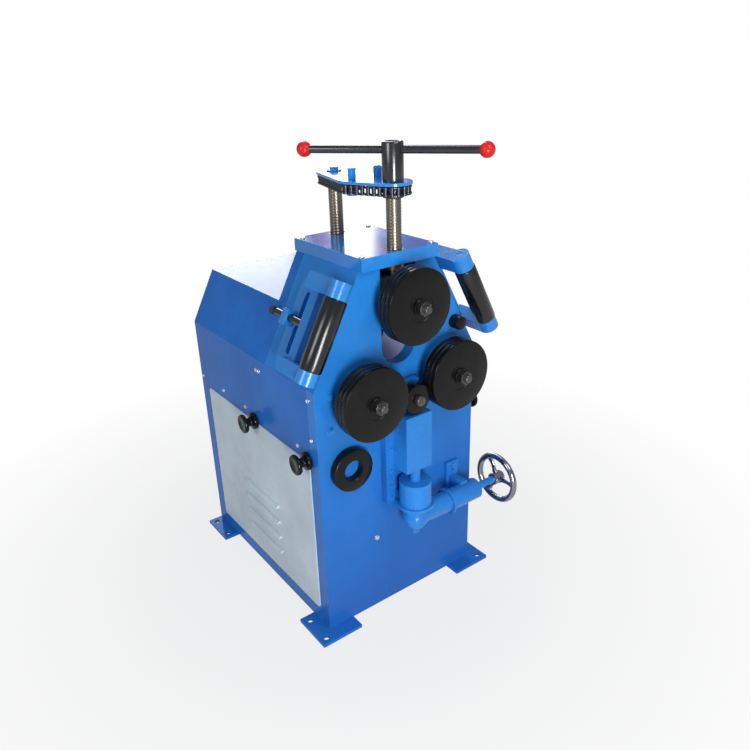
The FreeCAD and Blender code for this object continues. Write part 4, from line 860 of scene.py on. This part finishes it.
class ROLLER_OT_rolls(bpy.types.Operator):
    """Three black rolls of three discs, with washer, nut and stepped shaft"""
    bl_idname = "ring_roller.rolls"
    bl_label = "Rolls"

    def execute(self, context):
        rim = [(79, 2.4), (79, 10.3), (78.4, 11.9), (77.4, DISC_DEPTH), (15.01, DISC_DEPTH)]
        first = metres([(15.01, 1.5), (30, 1.5), (31.5, 0), (76.4, 0), (78.2, 0.7)] + rim)
        behind = metres([(15.01, 0), (77.4, 0), (78.4, 0.8)] + rim)
        washer = metres([(9.05, -2.5), (17.2, -2.5), (18, -1.7), (18, 1.5), (9.05, 1.5)])
        for word, x, z in (("top_roll", 0, TOP_ROLL), ("lower_roll_left", -LOWER_OFFSET, LOWER_ROLL),
                           ("lower_roll_right", LOWER_OFFSET, LOWER_ROLL)):
            cage = bmesh.new()
            for index, disc in enumerate((first, behind, behind)):
                turned(cage, disc, mm(x, ROLL_FACE + DISC_DEPTH * index, z), (0, 1, 0), 96)
            turned(cage, washer, mm(x, ROLL_FACE, z), (0, 1, 0))
            put_in_scene(word + "_turned", from_cage(word, cage), "roll", NODE_BODY[word], [word])
            cage = bmesh.new()
            prism(cage, 6, 0.016, -0.0155, -0.0025, mm(x, ROLL_FACE, z), (0, 1, 0), 0.08, 0.4)
            put_in_scene(word + "_nut", from_cage(word + "_nut", cage), "lever", NODE_BODY[word],
                         bevel=0.0004)
        for node in ("top_shaft", "lower_shaft_left", "lower_shaft_right"):
            dressed(node, "shaft", 0.0006)
        for node in ("lower_bearings", "top_bearings", "lower_gear_left", "lower_gear_right", "drive_pinion"):
            dressed(node, "machined", 0.0)
        return {"FINISHED"}


class ROLLER_OT_carriage(bpy.types.Operator):
    """Sliding blocks of the top roll, tie plate and its bolts"""
    bl_idname = "ring_roller.carriage"
    bl_label = "Carriage"

    def execute(self, context):
        dressed("top_block_front", "machined")
        dressed("top_block_rear", "machined")
        dressed("tie_plate", "plate", 0.0012)
        dressed("plate_bolts", "cast", 0.0008)
        return {"FINISHED"}


class ROLLER_OT_feed(bpy.types.Operator):
    """Feed screws, sprockets and the lever with its red balls"""
    bl_idname = "ring_roller.feed"
    bl_label = "Feed"

    def execute(self, context):
        foot = metres([
            (0, 789.5), (8, 789.5), (8.5, 790.2), (8.5, 803.2), (14.6, 803.2), (14.6, 803.7), (0, 803.7)])
        for node, y, top in (("feed_screw_front", FRONT_SCREW, BAR_LEVEL - 8.8),
                             ("feed_screw_rear", REAR_SCREW, PLATE_TOP - 0.5)):
            neck = metres([(0, 954.3), (14.6, 954.3), (14.6, 955.2), (14, 956), (12, 956),
                           (12, top - 1.4), (10.6, top), (0, top)])
            cage = bmesh.new()
            turned(cage, foot, mm(0, y, 0), (0, 0, 1))
            turned(cage, neck, mm(0, y, 0), (0, 0, 1))
            self.thread(cage, mm(0, y, 0), 0.8036, 0.9544)
            put_in_scene(node + "_turned", from_cage(node, cage), "screw", NODE_BODY[node], [node])
        for node in ("sprocket_front", "sprocket_rear", "chain_idler"):
            dressed(node, "chain", 0.0002)
        dressed("feed_nuts", "bronze", 0.0004)
        self.chain()
        self.lever()
        return {"FINISHED"}

    def thread(self, cage, spot, low, high):
        """Closed bar with a fine rounded groove of 6 mm lead wound round it."""
        steps, lead, rise = 48, 0.006, 0.00075
        middle, depth = 0.01485, 0.00015
        count = round((high - low) / rise)
        rings = []
        for level in range(count + 1):
            height = low + (high - low) * level / count
            row = []
            for index in range(steps):
                turn = index / steps
                wave = math.cos(2 * math.pi * (height / lead - turn))
                reach = middle + depth * max(-1.0, min(1.0, 1.8 * wave))
                angle = 2 * math.pi * turn
                row.append(cage.verts.new(
                    spot + Vector((reach * math.cos(angle), reach * math.sin(angle), height))))
            rings.append(row)
        capped(cage, rings)

    def chain(self):
        """Links laid round both sprockets and the idler, outer and inner by turns."""
        idler_low, idler_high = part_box("chain_idler")
        idler = (idler_low + idler_high) / 2
        wheel, small = (CHAIN_PITCH / 1000 / (2 * math.sin(math.pi / teeth))
                        for teeth in (SPROCKET_TEETH, IDLER_TEETH))
        circles = [(0.0, FRONT_SCREW / 1000, wheel), (0.0, REAR_SCREW / 1000, wheel),
                   (idler.x, idler.y, small)]
        level = Vector((0, 0, CHAIN_LEVEL / 1000))
        spots = [(spot + level, (0.0, 0.0, heading)) for spot, heading in belt_places(circles, CHAIN_COUNT)]
        marks = [index % 2 for index in range(CHAIN_COUNT)]
        mesh = link_tree("chain").grown("feed_chain_links", spots, LINK_SIZES, marks)
        put_in_scene("feed_chain_links", closed(mesh), "chain", "carriage", ["feed_chain"])

    def lever(self):
        hub = [(12.02, 0), (20, 0), (21, 1), (21, 69.6), (20.4, 71.6), (18.6, 72.9),
               (15, HUB_HEIGHT), (13.4, 72.2), (12.02, 70)]
        cap = [(0, 71.4), (11.4, 71.4), (12.01, 70.8), (12.01, 66), (0, 66)]
        base = mm(0, FRONT_SCREW, HUB_BASE)
        turned_piece("lever_hub_turned", [(hub, base, (0, 0, 1)), (cap, base, (0, 0, 1))],
                     "lever", "front_screw", ["lever_hub"])
        turn = math.radians(LEVER_TURN)
        along = Vector((math.cos(turn), math.sin(turn), 0))
        middle = mm(0, FRONT_SCREW, BAR_LEVEL)
        bar = [(0, -171.5), (7.2, -171.5), (7.8, -170.9), (7.8, 170.9), (7.2, 171.5), (0, 171.5)]
        turned_piece("lever_bar_turned", [(bar, middle, along)],
                     "lever", "front_screw", ["lever_bar"], steps=48)
        cage = bmesh.new()
        for end in (-1, 1):
            round_part = [(0.015 * math.cos(a), 0.015 * math.sin(a))
                          for a in (math.radians(-57 + 147 * n / 22) for n in range(22))]
            profile = [(0.0, -0.0105), (0.0079, -0.0126)] + round_part + [(0.0, 0.015)]
            turned(cage, profile, middle + along * (end * 0.1775), along * end, 48)
        put_in_scene("lever_balls_turned", from_cage("balls", cage), "ball", "front_screw", ["lever_balls"])


class ROLLER_OT_centre_roller(bpy.types.Operator):
    """Centre roller, its slide and the gib rails"""
    bl_idname = "ring_roller.centre_roller"
    bl_label = "Centre roller"

    def execute(self, context):
        dressed("centre_slide", "cast")
        dressed("gib_rails", "front")
        spot = mm(0, CENTRE_FACE, CENTRE_ROLLER)
        roller = [(10.05, 0), (30, 0), (32.2, 0.9), (33, 3), (33, 23), (32.2, 25.1), (30, 26), (10.05, 26)]
        turned_piece("centre_roller_turned", [(roller, spot, (0, 1, 0))],
                     "roll", "centre_wheel", ["centre_roller"])
        pin = [(0, -13), (6.2, -12.8), (9.4, -12), (11, -10.8), (11.5, -9.2), (11.5, -4.4), (10.2, -3.9),
               (10.2, -0.2), (9.5, -0.1), (0, -0.1)]
        turned_piece("centre_pin_head", [(pin, spot, (0, 1, 0))],
                     "shaft", "centre_carriage")
        return {"FINISHED"}


class ROLLER_OT_elevating_gear(bpy.types.Operator):
    """Cast gear case, lifting screw and chrome handwheel"""
    bl_idname = "ring_roller.elevating_gear"
    bl_label = "Elevating gear"

    def execute(self, context):
        dressed("elevating_case", "cast", 0.0014)
        dressed("lift_screw", "machined", 0.0002)
        dressed("wheel_shaft", "cast", 0.0004)
        self.wheel()
        return {"FINISHED"}

    def wheel(self):
        cage = bmesh.new()
        spot = mm(WHEEL_SIDE, CASE_Y, WHEEL_LEVEL)
        rim = [(0.0565 + 0.0075 * math.cos(a), 0.0075 * math.sin(a))
               for a in (2 * math.pi * n / 24 for n in range(24))]
        turned(cage, rim, spot, (1, 0, 0), 96)
        hub = metres([(9.02, -15), (13.4, -15), (15, -13.4), (15, -2), (16.4, 2), (16.4, 8),
                      (15, 12), (13.2, 15), (9.02, 15)])
        turned(cage, hub, spot, (1, 0, 0), 48)
        for index in range(3):
            angle = math.radians(90 + 120 * index)
            self.spoke(cage, spot, Vector((0, -math.sin(angle), math.cos(angle))))
        put_in_scene("handwheel_turned", from_cage("wheel", cage), "chrome", "wheel", ["handwheel"])

    def spoke(self, cage, spot, along):
        """Flat cast arm from the hub to the rim, an oval at each step, waisted in its middle."""
        outwards = Vector((1, 0, 0))
        across = outwards.cross(along)
        rings = []
        for step in range(9):
            share = step / 8
            reach = 0.012 + share * 0.042
            wide = 0.0085 - 0.003 * math.sin(math.pi * min(share * 1.1, 1.0))
            thick = 0.0042 - 0.0008 * math.sin(math.pi * share)
            bow = 0.0025 * math.sin(math.pi * share)
            middle = spot + along * reach + outwards * bow
            rings.append([
                cage.verts.new(middle + across * (wide * math.cos(a)) + outwards * (thick * math.sin(a)))
                for a in (2 * math.pi * n / 18 for n in range(18))])
        capped(cage, rings)


class ROLLER_OT_guides(bpy.types.Operator):
    """Slanted side guide rollers in their brackets and rails"""
    bl_idname = "ring_roller.guides"
    bl_label = "Side guides"

    def execute(self, context):
        dressed("guide_rails", "rail", 0.0012)
        tube = [(8.05, 0.3), (20.6, 0.3), (22.4, 1.0), (23, 2.8), (23, 140.4), (22.4, 142.2),
                (20.6, 143), (8.05, 143)]
        sleeve = [(0, 76.1), (8.15, 76.1), (8.15, 179.4), (7.4, 180.2), (0, 180.2)]
        rise = math.radians(SLANT)
        for side, word in ((-1, "left"), (1, "right")):
            dressed(f"guide_bracket_{word}", "rail", 0.0016)
            dressed(f"lock_screw_{word}", "lever", 0.0004)
            along = Vector((-side * math.cos(rise), 0, math.sin(rise)))
            outwards = Vector((side * math.sin(rise), 0, math.cos(rise)))
            corner = mm(side * SIDE, FRONT, SHOULDER)
            spot = corner + mm(0, -20, 0) + outwards * 0.043 + along * 0.0473
            node = f"guide_roller_{word}"
            turned_piece(node + "_turned", [(tube, spot, along)], "tube", NODE_BODY[node], [node])
            spot = corner + outwards * 0.027 + along * 0.119
            turned_piece(f"guide_bar_{word}", [(sleeve, spot, (0, 1, 0))], "tube", f"{word}_guide",
                         steps=40)
        return {"FINISHED"}


class ROLLER_OT_fittings(bpy.types.Operator):
    """Spare ring and stop stud on the front plate"""
    bl_idname = "ring_roller.fittings"
    bl_label = "Front fittings"

    def execute(self, context):
        spare = [(23, 1.6), (24.6, 0), (46.4, 0), (48, 0.9), (48.6, 2.6), (48.6, 17.4), (48, 19.1),
                 (46.4, 20), (24.6, 20), (23, 18.4)]
        turned_piece("spare_ring_turned", [(spare, mm(-140, FRONT - 20, 411), (0, 1, 0))],
                     "roll", "frame", ["spare_ring"], steps=84)
        stud = [(0, 0), (13.2, 0), (14.6, 0.8), (15, 2.4), (15, 26), (0, 26)]
        turned_piece("stop_stud_turned", [(stud, mm(153, FRONT - 26, 671), (0, 1, 0))],
                     "roll", "frame", ["stop_stud"])
        return {"FINISHED"}


class ROLLER_PT_panel(bpy.types.Panel):
    """Buttons for each group of pieces"""
    bl_idname = "ROLLER_PT_panel"
    bl_label = "Ring roller"
    bl_space_type = "VIEW_3D"
    bl_region_type = "UI"
    bl_category = "Ring roller"

    def draw(self, context):
        own = settings()
        for name in own.bl_rna.properties.keys():
            if name not in {"rna_type", "name"}:
                self.layout.prop(own, name)
        for operator in OPERATORS:
            self.layout.operator(operator.bl_idname)


OPERATORS = (
    ROLLER_OT_stage, ROLLER_OT_cabinet, ROLLER_OT_fasteners, ROLLER_OT_doors, ROLLER_OT_knobs,
    ROLLER_OT_rolls, ROLLER_OT_carriage, ROLLER_OT_feed, ROLLER_OT_centre_roller,
    ROLLER_OT_elevating_gear, ROLLER_OT_guides, ROLLER_OT_fittings,
)
CLASSES = (RollerSettings,) + OPERATORS + (ROLLER_PT_panel,)


def register():
    for item in CLASSES:
        bpy.utils.register_class(item)
    bpy.types.Scene.ring_roller = PointerProperty(type=RollerSettings)


def unregister():
    del bpy.types.Scene.ring_roller
    for item in reversed(CLASSES):
        bpy.utils.unregister_class(item)


def plain(box):
    return [[float(number) for number in corner] for corner in box]


def main():
    """Build every piece in order."""
    register()
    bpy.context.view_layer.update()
    for operator in OPERATORS:
        group, name = operator.bl_idname.split(".")
        getattr(getattr(bpy.ops, group), name)()


if __name__ == "__main__":
    main()
